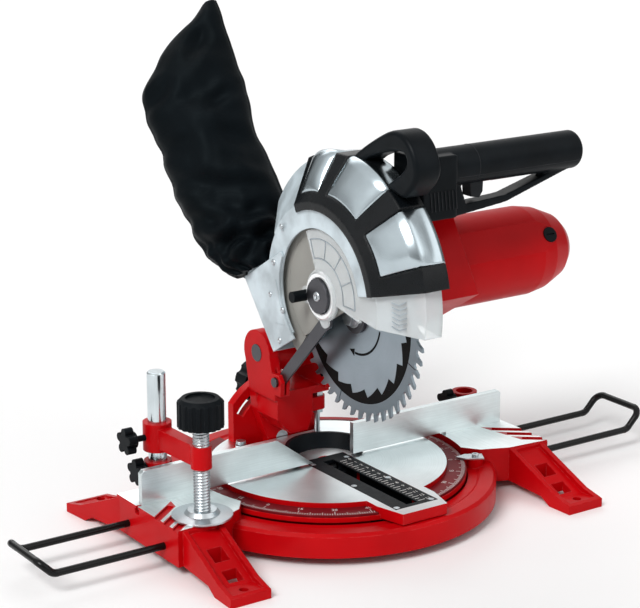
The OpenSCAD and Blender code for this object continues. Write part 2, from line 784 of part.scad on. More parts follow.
// Casting that hinges on the pin and carries the gear case
module head_arm() {
    x0 = 7;
    color(red) in_head() difference() {
        union() {
            at_yz(pin_y, pin_z) rod_x(-ear_in + lie, ear_in - lie, 22);
            plate_x(x0, ear_in - lie - x0) polygon([[pin_y + 4, pin_z - 21.5], [pin_y - 6, pin_z + 21],
                [pin_y - 74, motor_z + 36], [arbor_y, motor_z + 44], [arbor_y - 44, motor_z + 14],
                [arbor_y - 32, arbor_z - 8], [arbor_y, arbor_z - 26], [arbor_y + 34, arbor_z - 4],
                [pin_y - 46, pin_z - 31]]);
        }
        at_yz(pin_y, pin_z) {
            rod_x(-ear_in, ear_in, pin_r + run);
            rod_x(-ear_in - 1, -ear_in + 18.5, pin_r + 5.5);
        }
        // gear chamber
        at_yz(arbor_y, arbor_z) rod_x(case_x + 4, ear_in, 33);
        at_yz(arbor_y, arbor_z) rod_x(0, ear_in, arbor_r + 4);
        at_yz(arbor_y, motor_z) rod_x(case_x + 4, ear_in, 10);
        // socket of the carrying lock, which meets its pin when the head is down
        at_yz(link_y, link_z) rod_x(x0 - 1, ear_in, 4.5);
    }
}
// Block between the blade cover and the motor, with the bearing seats
module gear_case() {
    color(red) in_head() difference() {
        union() {
            plate_x(ear_in - lie + skin, mount_x - ear_in + lie) union() {
                translate([arbor_y, arbor_z]) circle(30);
                translate([arbor_y - 44, motor_z - 34]) square([88, 78]);
            }
            block([mount_x - 1, arbor_y - motor_r - 3, motor_z - motor_r - 2],
                [motor_x, arbor_y + motor_r + 3, motor_z + motor_r + 2]);
        }
        at_yz(arbor_y, arbor_z) {
            rod_x(ear_in - 1, ear_in + 6, 33);
            rod_x(ear_in, mount_x + 4, 13);
        }
        at_yz(arbor_y, motor_z) {
            rod_x(ear_in - 1, mount_x + 8, 13);
            rod_x(mount_x + 10, motor_x + 1, motor_r - 6);
            rod_x(mount_x, mount_x + 12, 8);
        }
        at_yz(arbor_y, arbor_z + 14) translate([ear_in + 10, 0, 0]) rod_y(-80, 0, 4);
    }
}

// Distances that keep every layer of the cover parallel to its outside
cover_slope = [guard_r - bevel_start, side_l - side_c];
cover_len = norm(cover_slope);
cover_k1 = (cover_len - cover_slope[0]) / cover_slope[1] - 0;
cover_k2 = (cover_len - cover_slope[1]) / cover_slope[0] - 0;
function cover_line(d, r_left, r_right) = [[r_left, -side_l + d],
    [bevel_start - d * cover_k1, -side_l + d],
    [guard_r - d, -side_c + d * cover_k2], [guard_r - d, side_r - d], [r_right, side_r - d]];
function flip(list) = [for (i = [len(list) - 1:-1:0]) list[i]];
function cover_layer(d0, d1, r_left, r_right) =
    concat(cover_line(d0, r_left, r_right), flip(cover_line(d1, r_left, r_right)));

module upper_guard() {
    color(light_grey) in_head() union() {
        {
            revolve(guard_y, guard_z, cover_start, cover_end)
                polygon(cover_layer(shell_d, shell_d + guard_wall, window_r, bevel_start));
            // rear part of the left wall, down to the cover's lower edge
            revolve(guard_y, guard_z, -15, cover_start + 1)
                polygon([[window_r, -side_l + shell_d], [bevel_start - 2, -side_l + shell_d],
                    [bevel_start - 2, -side_l + shell_d + guard_wall], [window_r, -side_l + shell_d + guard_wall]]);
            // web that ties the cover to the gear case
            plate_x(side_r - shell_d - guard_wall, guard_wall) difference() {
                intersection() {
                    translate([guard_y, guard_z]) circle(bevel_start + 1);
                    translate([guard_y - 120, guard_z - 10]) square([150, 140]);
                }
                translate([arbor_y, motor_z - 4]) circle(62);
            }
        }
    }
}
// Black frame over the cover: four ribs, a side band and a front band
module guard_trim() {
    color(black) in_head() {
        revolve(guard_y, guard_z, rib_ends[0], cover_end)
            polygon([[window_r + 18, -side_l], [bevel_start, -side_l], each [cover_at(band_r, 0)],
                each [cover_at(band_r, trim_t)], [bevel_start - trim_t * cover_k1, -side_l + trim_t],
                [window_r + 18, -side_l + trim_t]]);
        for (i = [0:3]) revolve(guard_y, guard_z, rib_ends[i], i < 3 ? panel_ends[i] : cover_end)
            polygon(rib_profile());
    }
}
// Point on the cover's slanted side at radius r, d below its outside
function cover_at(r, d) = let (a = cover_line(d, 0, 0)[1], b = cover_line(d, 0, 0)[2], t = (r - a[0]) / (b[0] - a[0]))
    [r, a[1] + t * (b[1] - a[1])];
function rib_profile() = [cover_at(band_r - 1, 0), cover_line(0, 0, 0)[2], cover_line(0, 0, 0)[3],
    [guard_r - trim_t, side_r], cover_line(trim_t, 0, 0)[2], cover_at(band_r - 1, trim_t)];
module guard_panels() {
    a = skin / 2;
    color(steel) in_head() for (i = [0:2]) revolve(guard_y, guard_z, panel_ends[i] + a, rib_ends[i + 1] - a)
        polygon([cover_at(band_r + skin, 0.4), cover_line(0.4, 0, 0)[2], [guard_r - 0.4, side_r],
            [guard_r - trim_t, side_r], cover_line(trim_t, 0, 0)[2], cover_at(band_r + skin, trim_t)]);
}
// Inner plate that carries the guard's pivot
module guard_side_plate() {
    color(taupe) in_head() difference() {
        union() {
            plate_x(-side_l + plate_d, guard_wall) intersection() {
                translate([guard_y, guard_z]) circle(window_r - 3);
                translate([guard_y - 100, side_low]) square(200);
            }
            // arm to the cover's roof
            plate_x(-side_l + plate_d, guard_wall) translate([guard_y - 12, guard_z + 30])
                square([24, 60]);
            block([-side_l + plate_d, guard_y - 12, guard_z + 86],
                [side_r - shell_d - guard_wall, guard_y + 12, guard_z + 88.2]);
        }
        at_yz(guard_y, guard_z) rod_x(-side_l, 0, 5 + skin);
    }
}
module guard_pivot() {
    color(dark_grey) in_head() at_yz(guard_y, guard_z) {
        rod_x(-side_l + plate_d - 4, -side_l + plate_d + guard_wall + 3, 5);
        rod_x(-side_l + plate_d + guard_wall + skin, -side_l + plate_d + guard_wall + 4, 8);
        rod_x(-side_l, -side_l + clear_d - lie, 17);
        rod_x(-side_l + clear_d - 1, -side_l + plate_d - skin, 6);
    }
}

// Clear guard: side plate on the pivot and the nose in front of the blade
module lower_guard() {
    x0 = -side_l + clear_d;
    nose_a = cover_end - 22;
    nose_b = 219;
    color(clear) in_head() difference() {
        union() {
            revolve(guard_y, guard_z, nose_a, nose_b)
                polygon(cover_layer(clear_d, clear_d + clear_wall, 50, bevel_start + 4));
            plate_x(x0, clear_wall) translate([guard_y, guard_z]) union() {
                circle(26);
                translate([24.5, 9.2]) circle(9);
                intersection() {
                    circle(window_r - 1.5);
                    polygon([[0, 0], [-14, 120], [-120, 120], [-120, -110]]);
                }
            }
            at_lever() rod_x(x0, x0 + clear_wall, 7);
            at_lever() rod_x(x0, link_x + link_t, link_pin);
        }
        at_yz(guard_y, guard_z) rod_x(x0 - 1, x0 + clear_wall + 1, 6 + run);
        at_stud() rod_x(x0 - 1, x0 + clear_wall + 1, 3);
    }
}
module at_lever() {
    at_yz(guard_y + lever_r * cos(lever_a), guard_z + lever_r * sin(lever_a)) children();
}
module at_stud() {
    at_yz(guard_y + 24.5, guard_z + 9.2) children();
}
module guard_stud() {
    color(black) in_head() at_stud() {
        rod_x(-side_l - 12, -side_l + clear_d - skin, 5.5);
        rod_x(-side_l + clear_d - 1, -side_l + clear_d + clear_wall, 3 - skin);
    }
}
// Strap from the bracket to the guard's lever
module guard_link() {
    up = lever_point();
    d = up - [link_y, link_z];
    n = [-d[1], d[0]] / norm(d);
    color(dark_grey) {
        plate_x(link_x, link_t) difference() {
            union() {
                translate([link_y, link_z]) circle(6.5);
                translate(up) circle(8.5);
                polygon([[link_y, link_z] + 6 * n, up + 7 * n, up - 7 * n, [link_y, link_z] - 6 * n]);
            }
            translate(up) circle(link_pin + 2);
        }
        at_yz(link_y, link_z) {
            rod_x(-ear_out - 1, -ear_in + 0.5, link_pin - run);
            rod_x(-ear_out - 3, -ear_out - skin, 5);
        }
    }
}
// Place of the guard's lever pin with the head raised
function lever_point() = let (y = guard_y + lever_r * cos(lever_a) - pin_y, z = guard_z + lever_r * sin(lever_a) - pin_z)
    [pin_y + y * cos(head_raise) + z * sin(head_raise), pin_z - y * sin(head_raise) + z * cos(head_raise)];

// Saw blade with raked teeth and four expansion slots
module blade() {
    step = 360 / teeth;
    color(steel) in_head() plate_x(-blade_t / 2, blade_t) translate([arbor_y, arbor_z]) difference() {
        polygon([for (i = [0:teeth - 1]) for (p = [[blade_r, 0], [blade_r - 9, -0.08], [blade_r - 9.5, 0.3],
            [blade_r - 6, 0.55], [blade_r - 1.2, 0.72]]) p[0] * [cos((i + p[1]) * step), sin((i + p[1]) * step)]]);
        circle(arbor_r);
        for (a = [45:90:315]) rotate(a + 4) translate([blade_r - 26, 0]) {
            circle(1.6);
            translate([0, -0.6]) square([20, 1.2]);
        }
    }
}
module blade_flanges() {
    inner = blade_t / 2 + skin / 2;
    color(dark_grey) in_head() at_yz(arbor_y, arbor_z) difference() {
        union() {
            rod_x(inner, inner + 4, 20);
            rod_x(-inner - 4, -inner, 17);
        }
        rod_x(-20, 20, arbor_r);
    }
}
module arbor() {
    color(steel) in_head() at_yz(arbor_y, arbor_z) difference() {
        union() {
            rod_x(-blade_t / 2 - 3, mount_x, arbor_r - skin / 2);
        }
        rod_x(-20, 15, 4);
    }
}
module arbor_bolt() {
    x0 = -blade_t / 2 - 4 - skin;
    color(steel) in_head() at_yz(arbor_y, arbor_z) {
        rod_x(x0 - 1, 12, 4 - skin);
        rod_x(x0 - 2, x0, 11);
        translate([x0 - 8, 0, 0]) rotate([0, 90, 0]) cylinder(r = 8.5, h = 6.5, $fn = 6);
    }
}
// Straight-flanked spur teeth with backlash
module gear_shape(n, turn) {
    r = n * gear_m / 2;
    w = 360 / n;
    rotate(turn) polygon([for (i = [0:n - 1]) for (p = [[r - 1.25 * gear_m, -0.3], [r + 0.8 * gear_m, -0.11],
        [r + 0.8 * gear_m, 0.11], [r - 1.25 * gear_m, 0.3]]) p[0] * [cos((i + p[1]) * w), sin((i + p[1]) * w)]]);
}
gear_x = case_x + 6;
gear_t = 9;
module arbor_gear() {
    color(steel) in_head() plate_x(gear_x, gear_t) translate([arbor_y, arbor_z]) difference() {
        gear_shape(gear_teeth, 90);
        circle(arbor_r);
        for (a = [0:60:300]) rotate(a) translate([20, 0]) circle(4);
    }
}
module armature() {
    color(copper) in_head() {
        plate_x(gear_x - 1, gear_t + 3) translate([arbor_y, motor_z]) gear_shape(pinion_teeth, 270 - 180 / pinion_teeth);
        at_yz(arbor_y, motor_z) {
            rod_x(gear_x + gear_t + 1, motor_end - 18, 5);
            rod_x(motor_x + 14, motor_x + 72, motor_r - 22);
            rod_x(brush_x - 9, brush_x + 9, 14);
        }
    }
}
module motor_fan() {
    x0 = motor_x - 16;
    blades = 12;
    color(black) in_head() at_yz(arbor_y, motor_z) difference() {
        union() {
            rod_x(x0, x0 + 3, motor_r - 9);
            rod_x(x0, x0 + 12, 10);
            for (i = [0:blades - 1]) rotate([i * 360 / blades, 0, 0])
                block([x0 + 1, 8, -1], [x0 + 11, motor_r - 10, 1]);
        }
        rod_x(x0 - 1, x0 + 20, 5 + skin / 2);
    }
}
module bearing(x, r_in, r_out, t) {
    difference() {
        rod_x(x, x + t, r_out);
        rod_x(x - 1, x + t + 1, r_in);
    }
}
module motor_bearings() {
    color(steel) in_head() {
        at_yz(arbor_y, motor_z) {
            bearing(mount_x - 2, 5 + run, 13 - run, 9);
            bearing(motor_end - 28, 5 + run, 11 - run, 9);
        }
        at_yz(arbor_y, arbor_z) bearing(mount_x - 9, arbor_r + run, 13 - run, 9);
        at_yz(arbor_y, arbor_z) bearing(case_x + 0.2, arbor_r + run, arbor_r + 4 - run, 4);
    }
}
module stator() {
    color(dark_grey) in_head() at_yz(arbor_y, motor_z) difference() {
        rod_x(motor_x + 14, motor_x + 72, motor_r - 5 - skin);
        rod_x(motor_x, motor_x + 90, motor_r - 21);
    }
}
// Motor housing: round, tapered to its end, flat at the front and back for the brushes
module motor_housing() {
    x1 = motor_end;
    flat = motor_r - 3;
    color(red) in_head() at_yz(arbor_y, motor_z) difference() {
        intersection() {
            rotate([90, 0, 90]) rotate_extrude() polygon([[0, motor_x + skin], [motor_r, motor_x + skin],
                [motor_r, x1 - 52], [motor_r - 3, x1 - 34], [motor_r - 12, x1 - 12], [motor_r - 20, x1 - 3],
                [motor_r - 26, x1], [0, x1]]);
            block([0, -flat, -motor_r - 1], [x1 + 1, flat, motor_r + 1]);
        }
        rod_x(motor_x - 1, motor_x + 78, motor_r - 5);
        rod_x(motor_x, x1 - 30, motor_r - 13);
        rod_x(motor_x, x1 - 19, 11);
        rod_x(motor_x, x1 - 15, 7);
        for (s = [-1, 1]) translate([brush_x, 0, 0]) rotate([0, 0, 90 - 90 * s]) rod_y(0, motor_r, 8);
    }
}
module brush_caps() {
    flat = motor_r - 3;
    color(black) in_head() at_yz(arbor_y, motor_z) for (s = [0, 180]) translate([brush_x, 0, 0])
        rotate([0, 0, s]) difference() {
            rod_y(flat - 8, flat + 1.2, 8 - skin);
            rotate([0, 0, 0]) block([-5, flat - 0.4, -0.8], [5, flat + 3, 0.8]);
            rod_y(flat - 9, flat - 2, 6);
        }
}
module brushes() {
    color(dark_grey) in_head() at_yz(arbor_y, motor_z) for (s = [0, 180]) translate([brush_x, 0, 0])
        rotate([0, 0, s]) block([-3, 14 + lie, -4], [3, motor_r - 6, 4]);
}

// Places handle parts on the grip's axis, level with the head raised
module at_grip() {
    in_head() at_yz(grip_y, grip_z) rotate([grip_tilt, 0, 0]) children();
}
// D-shaped handle: root on the gear case, round grip and a lower bow
module handle() {
    x0 = grip_start;
    bow = grip_r + 26;
    color(black) at_grip() difference() {
        union() {
            rod_x(x0 - 20, grip_end - 4, grip_r);
            translate([grip_end - 4, 0, 0]) rotate([0, 90, 0]) cylinder(r1 = grip_r, r2 = grip_r - 4, h = 4);
            // bow below the fingers
            plate_y(-9, 18) polygon([[x0 - 30, -8], [x0 - 30, -bow], [x0 + 10, -bow - 3], [x0 + 75, -bow + 4],
                [grip_end - 8, -grip_r + 3], [grip_end - 22, -grip_r + 4], [x0 + 75, -bow + 11],
                [x0 + 26, -bow + 8], [x0 + 18, -grip_r + 4], [x0 + 18, -8]]);
            // root
            block([mount_x - 14, -22, -bow], [x0 + 4, 26, grip_r - 3]);
            block([mount_x - 14, 20, -bow - 26], [x0 + 4, 62, -8]);
        }
        // chamber of the switch
        block([x0 + 8, -7, -grip_r - 2], [x0 + 58, 7, grip_r - 8]);
        // seat of the lock button
        translate([x0 + 40, 0, 6]) rod_y(0, 40, 5);
        in_grip_frame() block([ear_in - 2, arbor_y - motor_r - 3.3, motor_z - 80],
            [motor_x + 1, arbor_y + 60, motor_z + motor_r + 2.3]);
    }
}
// Undoes the handle's own place, for cuts given in the lowered head's frame
module in_grip_frame() {
    rotate([-grip_tilt, 0, 0]) at_yz(-grip_y, -grip_z) children();
}
module carry_handle() {
    color(black) at_grip() difference() {
        plate_x(-4, mount_x - 14 + 4 - skin) difference() {
            polygon([[62, 6], [4, 38], [-16, 46], [-42, 34], [-52, 10], [-30, -16], [0, -22], [20, -12], [44, -12]]);
            polygon([[36, 9], [12, 18], [-8, 24], [-26, 27], [-34, 16], [-22, 4], [0, -8], [20, 2]]);
        }
        in_grip_frame() at_yz(guard_y, guard_z) rod_x(-20, mount_x, guard_r + skin);
    }
}
module trigger() {
    x0 = grip_start;
    color(dark_grey) at_grip() {
        plate_y(-6.5, 13) polygon([[x0 + 33, -grip_r - 12], [x0 + 43, -grip_r - 14], [x0 + 47, -grip_r - 8],
            [x0 + 48, -2], [x0 + 30, -2]]);
    }
}
module lock_button() {
    color(dark_grey) at_grip() translate([grip_start + 40, 0, 6]) rod_y(12, grip_r + 2, 5 - run);
}
module spindle_lock() {
    color(black) in_head() at_yz(arbor_y, arbor_z + 14) translate([ear_in + 10, 0, 0]) {
        rod_y(-58, -36, 4 - run);
        rod_y(-65, -54.5, 8);
    }
}

// Box behind the blade with the outlet tube for the bag
module dust_port() {
    x0 = -side_l;
    outline = [[guard_y + 40, side_low], [port_rear - 3, side_low], [port_rear + 8, port_top],
        [guard_y + 38, port_top]];
    color(light_grey) in_head() difference() {
        union() {
            plate_x(x0, trim_t) difference() {
                polygon(outline);
                translate([guard_y, guard_z]) circle(window_r + 0.5);
            }
            plate_x(x0 + 1, port_right - x0 - 1) polygon([[port_rear - 5.5, side_low], [port_rear - 3, side_low],
                [port_rear + 8, port_top], [port_rear + 5.5, port_top]]);
            block([x0 + 1, port_y - 30, port_top - 2.5], [port_right, port_rear + 8, port_top]);
            translate([port_x, port_y, 0]) rod_z(port_top - 2, mouth_z + 8, mouth_r);
        }
        translate([port_x, port_y, 0]) rod_z(port_top - 6, mouth_z + 9, mouth_r - 2.2);
        revolve(guard_y, guard_z, 30, cover_end) polygon([[guard_r - 12, -60], [guard_r + 20, -60],
            [guard_r + 20, side_r + 1], [guard_r - 12, side_r + 1]]);
    }
}
// Cloth bag, plain outer form, held on the outlet tube by its cuff
module dust_bag() {
    slice = 4;
    levels = [[0, 0.62, 0.84, -0.04], [0.18, 0.92, 0.96, -0.09], [0.5, 0.98, 1, -0.12], [0.7, 0.96, 0.9, -0.13]];
    color(black) in_head() translate([port_x, port_y, port_top + 2]) difference() {
        rotate([0, 0, bag_turn]) {
            for (i = [0:2]) hull() for (k = [i, i + 1]) at_level(levels[k]) scale_slice(levels[k][1], levels[k][2], slice);
            hull() {
                at_level(levels[3]) scale_slice(levels[3][1], levels[3][2], slice);
                translate([bag_w * 0.24, 0, bag_len - slice]) scale_slice(0.14, 0.24, slice);
            }
        }
        rod_z(-1, mouth_z - port_top + 8, mouth_r + skin);
    }
}
module at_level(v) {
    translate([v[3] * bag_w, 0, v[0] * bag_len]) children();
}
module scale_slice(w, t, h) {
    r = bag_t * t / 2;
    x = max(bag_w * w / 2 - r, 0.1);
    for (s = [-1, 1]) translate([s * x, 0, 0]) cylinder(r = r, h = h, $fn = 32);
}

module placed() {
    translate([0, axis_y, 0]) children();
}
placed() base_casting();
placed() fence_left();
placed() fence_right();
placed() base_screws();
placed() mitre_pointer();
placed() support_left_rod();
placed() support_right_rod();
placed() support_screw_left();
placed() support_screw_right();
placed() clamp_column();
placed() clamp_arm();
placed() clamp_arm_knob();
placed() clamp_spindle();
placed() clamp_knob();
placed() clamp_pad();
placed() column_knob_left();
placed() column_knob_right();
placed() turntable();
placed() mitre_scale();
placed() table_insert();
placed() insert_screws();
placed() turntable_bolt();
placed() chip_collar();
placed() bevel_pin();
placed() bevel_end_stop();
placed() bevel_bracket();
placed() bevel_knob();
placed() bevel_zero_stop();
placed() head_pin();
placed() head_spring();
placed() head_lock_pin();
placed() head_arm();
placed() gear_case();
placed() upper_guard();
placed() guard_trim();
placed() guard_panels();
placed() guard_side_plate();
placed() dust_port();
placed() dust_bag();
placed() guard_pivot();
placed() lower_guard();
placed() guard_stud();
placed() guard_link();
placed() blade();
placed() blade_flanges();
placed() arbor();
placed() arbor_gear();
placed() arbor_bolt();
placed() armature();
placed() motor_fan();
placed() motor_bearings();
placed() stator();
placed() motor_housing();
placed() brush_caps();
placed() brushes();
placed() handle();
placed() carry_handle();
placed() trigger();
placed() lock_button();
placed() spindle_lock();
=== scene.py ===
"""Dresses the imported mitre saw: materials, cloth bag, marks, threads, floor, light and camera."""
import math

import bpy
from mathutils import Euler, Matrix, Vector, noise


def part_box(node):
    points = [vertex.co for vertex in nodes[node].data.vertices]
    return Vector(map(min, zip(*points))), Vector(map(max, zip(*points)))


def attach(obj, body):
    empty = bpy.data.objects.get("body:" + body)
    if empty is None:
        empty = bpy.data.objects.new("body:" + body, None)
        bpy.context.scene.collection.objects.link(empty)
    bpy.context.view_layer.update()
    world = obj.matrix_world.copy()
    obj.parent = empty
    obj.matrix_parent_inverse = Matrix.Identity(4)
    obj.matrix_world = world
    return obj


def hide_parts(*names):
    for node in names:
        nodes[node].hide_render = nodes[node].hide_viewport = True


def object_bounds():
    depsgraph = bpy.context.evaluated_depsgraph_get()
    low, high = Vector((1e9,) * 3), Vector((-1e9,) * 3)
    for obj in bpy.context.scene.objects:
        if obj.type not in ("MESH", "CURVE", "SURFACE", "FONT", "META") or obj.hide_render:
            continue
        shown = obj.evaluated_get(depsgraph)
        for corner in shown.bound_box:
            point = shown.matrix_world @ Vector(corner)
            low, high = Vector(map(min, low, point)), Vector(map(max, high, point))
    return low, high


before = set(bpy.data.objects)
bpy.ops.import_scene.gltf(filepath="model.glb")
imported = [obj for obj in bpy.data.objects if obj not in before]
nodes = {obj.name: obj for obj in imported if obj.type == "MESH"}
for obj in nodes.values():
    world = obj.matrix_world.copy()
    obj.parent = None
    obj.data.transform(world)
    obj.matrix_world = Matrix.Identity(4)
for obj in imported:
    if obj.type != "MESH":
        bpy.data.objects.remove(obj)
cad_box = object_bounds()
MM = 0.001

# Places from the part's source, in millimetres: y is measured from the table's axis
AXIS_Y = 20.0
TABLE_Z = 45.0
PIN_Y, PIN_Z = 80.0, 143.0
RAISE = math.radians(31.3)
ARBOR_Y, ARBOR_Z = -66.5, 130.5
GUARD_Y, GUARD_Z = -61.5, 157.5


def place(x, y, z):
    """A point of the base, in metres in the row frame."""
    return Vector((x, y + AXIS_Y, z)) * MM


def raised(x, y, z):
    """A point given on the lowered head, in metres in the row frame with the head raised."""
    dy, dz = y - PIN_Y, z - PIN_Z
    c, s = math.cos(RAISE), math.sin(RAISE)
    return place(x, PIN_Y + dy * c + dz * s, PIN_Z - dy * s + dz * c)


# HEAD turns directions of the lowered head into those of the raised head
HEAD = Matrix.Rotation(-RAISE, 3, "X")
LEFT = Vector((-1, 0, 0))
UP = Vector((0, 0, 1))
GRIP = raised(0, -181, 232)


# Materials


class Shader:
    """A material with one principled shader and short calls for its texture nodes."""

    def __init__(self, name, color, rough=0.5, metal=0.0):
        self.mat = bpy.data.materials.new(name)
        self.mat.use_nodes = True
        self.tree = self.mat.node_tree
        self.bsdf = self.tree.nodes["Principled BSDF"]
        self.bsdf.inputs["Base Color"].default_value = (*color, 1.0)
        self.bsdf.inputs["Roughness"].default_value = rough
        self.bsdf.inputs["Metallic"].default_value = metal
        self.coords = self.node("ShaderNodeTexCoord").outputs["Object"]

    def node(self, kind, **inputs):
        """A new node; its inputs are named with _ for a space."""
        n = self.tree.nodes.new(kind)
        for key, value in inputs.items():
            self.set(n.inputs[key.replace("_", " ")], value)
        return n

    def set(self, socket, value):
        """Links a socket, or sets a plain value."""
        if isinstance(value, bpy.types.NodeSocket):
            self.tree.links.new(value, socket)
        else:
            socket.default_value = value

    def stretch(self, x, y, z):
        """Object coordinates scaled along the axes, for grain that runs one way."""
        n = self.node("ShaderNodeMapping", Vector=self.coords)
        n.inputs["Scale"].default_value = (x, y, z)
        return n.outputs["Vector"]

    def noise(self, scale, detail=3.0, vector=None):
        n = self.node("ShaderNodeTexNoise", Vector=vector or self.coords, Scale=scale, Detail=detail)
        return n.outputs["Fac"]

    def math(self, operation, a, b=0.0):
        n = self.node("ShaderNodeMath")
        n.operation = operation
        self.set(n.inputs[0], a)
        self.set(n.inputs[1], b)
        return n.outputs[0]

    def vector(self, operation, a, b=(0.0, 0.0, 0.0)):
        """A vector node's outputs, as some operations put out a number."""
        n = self.node("ShaderNodeVectorMath")
        n.operation = operation
        self.set(n.inputs[0], a)
        self.set(n.inputs[1], b)
        return n.outputs

    def span(self, fac, low, high, a=0.0, b=1.0):
        """Maps a to low and b to high in a straight line, and keeps to them outside."""
        n = self.node("ShaderNodeMapRange", Value=fac)
        for key, value in (("From Min", a), ("From Max", b), ("To Min", low), ("To Max", high)):
            n.inputs[key].default_value = value
        return n.outputs["Result"]

    def mix(self, fac, a, b):
        """Colour a where fac is 0 and b where it is 1."""
        n = self.node("ShaderNodeMix")
        n.data_type = "RGBA"
        self.set(n.inputs[0], fac)
        for socket, value in ((n.inputs[6], a), (n.inputs[7], b)):
            self.set(socket, value if isinstance(value, bpy.types.NodeSocket) else (*value[:3], 1.0))
        return n.outputs[2]

    def edge(self, radius):
        """1 on sharp edges and 0 on flat faces, from the rounded normal; also gives that normal."""
        soft = self.node("ShaderNodeBevel")
        soft.samples = 4
        soft.inputs["Radius"].default_value = radius
        plain = self.node("ShaderNodeNewGeometry").outputs["Normal"]
        same = self.vector("DOT_PRODUCT", soft.outputs["Normal"], plain)["Value"]
        return self.span(same, 0.0, 1.0, 0.995, 0.9), soft.outputs["Normal"]

    def bump(self, height, distance, strength=1.0, normal=None):
        n = self.node("ShaderNodeBump", Height=height, Strength=strength, Distance=distance)
        if normal is not None:
            self.set(n.inputs["Normal"], normal)
        self.set(self.bsdf.inputs["Normal"], n.outputs["Normal"])

    def base(self, value):
        self.set(self.bsdf.inputs["Base Color"], value)

    def rough(self, value):
        self.set(self.bsdf.inputs["Roughness"], value)

    def fixed(self, **values):
        """Plain values on the shader's inputs, named with _ for a space."""
        for key, value in values.items():
            self.bsdf.inputs[key.replace("_", " ")].default_value = value
        return self


def tint(color, factor):
    """A lighter or darker colour."""
    return tuple(min(1.0, c * factor) for c in color)


def painted(name, color, rough=0.3, peel=0.00006, coat=0.04, shine=0.07):
    """Paint over a casting: slow colour drift, orange peel and thin paint along the edges."""
    s = Shader(name, color, rough)
    worn, soft = s.edge(0.0012)
    drift = s.noise(16.0, 4.0)
    body = s.mix(s.span(drift, 0.0, 1.0, 0.3, 0.7), tint(color, 0.86), tint(color, 1.06))
    scuff = s.math("MULTIPLY", worn, s.span(s.noise(160.0, 5.0), 0.0, 0.55, 0.42, 0.7))
    s.base(s.mix(scuff, body, [min(1.0, 0.12 + 1.25 * c) for c in color]))
    s.rough(s.span(s.noise(70.0, 5.0), rough - 0.06, rough + 0.12))
    s.bump(s.noise(850.0, 2.0), peel, 0.6, soft)
    return s.fixed(Coat_Weight=coat, Coat_Roughness=0.12, Specular_IOR_Level=shine).mat


def plastic(name, color, rough=0.42, grain=0.00005, shine=0.07, corner=0.0010):
    """Moulded plastic with a fine spark-eroded grain and rubbed edges."""
    s = Shader(name, color, rough)
    worn, soft = s.edge(corner)
    body = s.mix(s.span(s.noise(40.0, 5.0), 0.0, 1.0, 0.35, 0.65), tint(color, 0.8), tint(color, 1.2))
    rub = s.math("MULTIPLY", worn, s.span(s.noise(220.0, 4.0), 0.0, 0.5, 0.4, 0.75))
    s.base(s.mix(rub, body, [0.05 + 1.15 * c for c in color]))
    s.rough(s.span(s.noise(130.0, 4.0), rough - 0.08, rough + 0.12))
    s.bump(s.noise(1700.0, 2.0), grain, 0.7, soft)
    return s.fixed(Specular_IOR_Level=shine).mat


def metal(name, color, rough=0.3, lines=(1, 1, 1), depth=0.00002, scale=900.0, bars=None):
    """Bare metal with fine machining lines that run along the axis of the smallest number; at a coarse scale
    these lines also serve as painted reflection streaks.
    """
    s = Shader(name, color, rough, 1.0)
    worn, soft = s.edge(0.0006)
    grain = s.noise(scale, 4.0, s.stretch(*lines))
    cloud = s.noise(28.0, 4.0)
    body = s.mix(s.span(cloud, 0.0, 1.0, 0.3, 0.7), tint(color, 0.86), tint(color, 1.05))
    body = s.mix(s.span(grain, 0.0, 0.35, 0.35, 0.75), body, tint(color, 0.7))
    body = s.mix(worn, body, tint(color, 1.25))
    if bars:
        mask = slanted_bars(s)
        body = s.mix(mask, body, bars)
        s.set(s.bsdf.inputs["Metallic"], s.math("SUBTRACT", 1.0, mask))
    s.base(body)
    s.rough(s.span(grain, rough - 0.07, rough + 0.13))
    s.bump(grain, depth, 0.5, soft)
    return s.mat


def slanted_bars(s):
    """1 on three painted bars along the grooves at each wing's end, 0 elsewhere."""
    bars_x, bars_y = 0.193, (24 - AXIS_Y) * MM
    lean, pitch, share, offset = math.radians(38), 0.0133, 0.71, 0.0012
    end_slope, end_at = 1.165, -0.002
    at = s.node("ShaderNodeSeparateXYZ", Vector=s.coords)
    x = s.math("SUBTRACT", s.math("ABSOLUTE", at.outputs["X"]), bars_x)
    y = s.math("ADD", at.outputs["Y"], bars_y)
    c, n = math.cos(lean), math.sin(lean)
    over = s.math("ADD", s.math("MULTIPLY", x, n), s.math("MULTIPLY", y, c))
    along = s.math("SUBTRACT", s.math("MULTIPLY", x, c), s.math("MULTIPLY", y, n))
    step = s.math("DIVIDE", s.math("ADD", over, offset), pitch)
    mask = s.math("LESS_THAN", s.math("FRACT", step), share)
    mask = s.math("MULTIPLY", mask, s.math("GREATER_THAN", step, -2.0))
    mask = s.math("MULTIPLY", mask, s.math("LESS_THAN", step, 1.0))
    start = s.math("ADD", along, s.math("MULTIPLY", over, end_slope))
    return s.math("MULTIPLY", mask, s.math("GREATER_THAN", start, end_at))


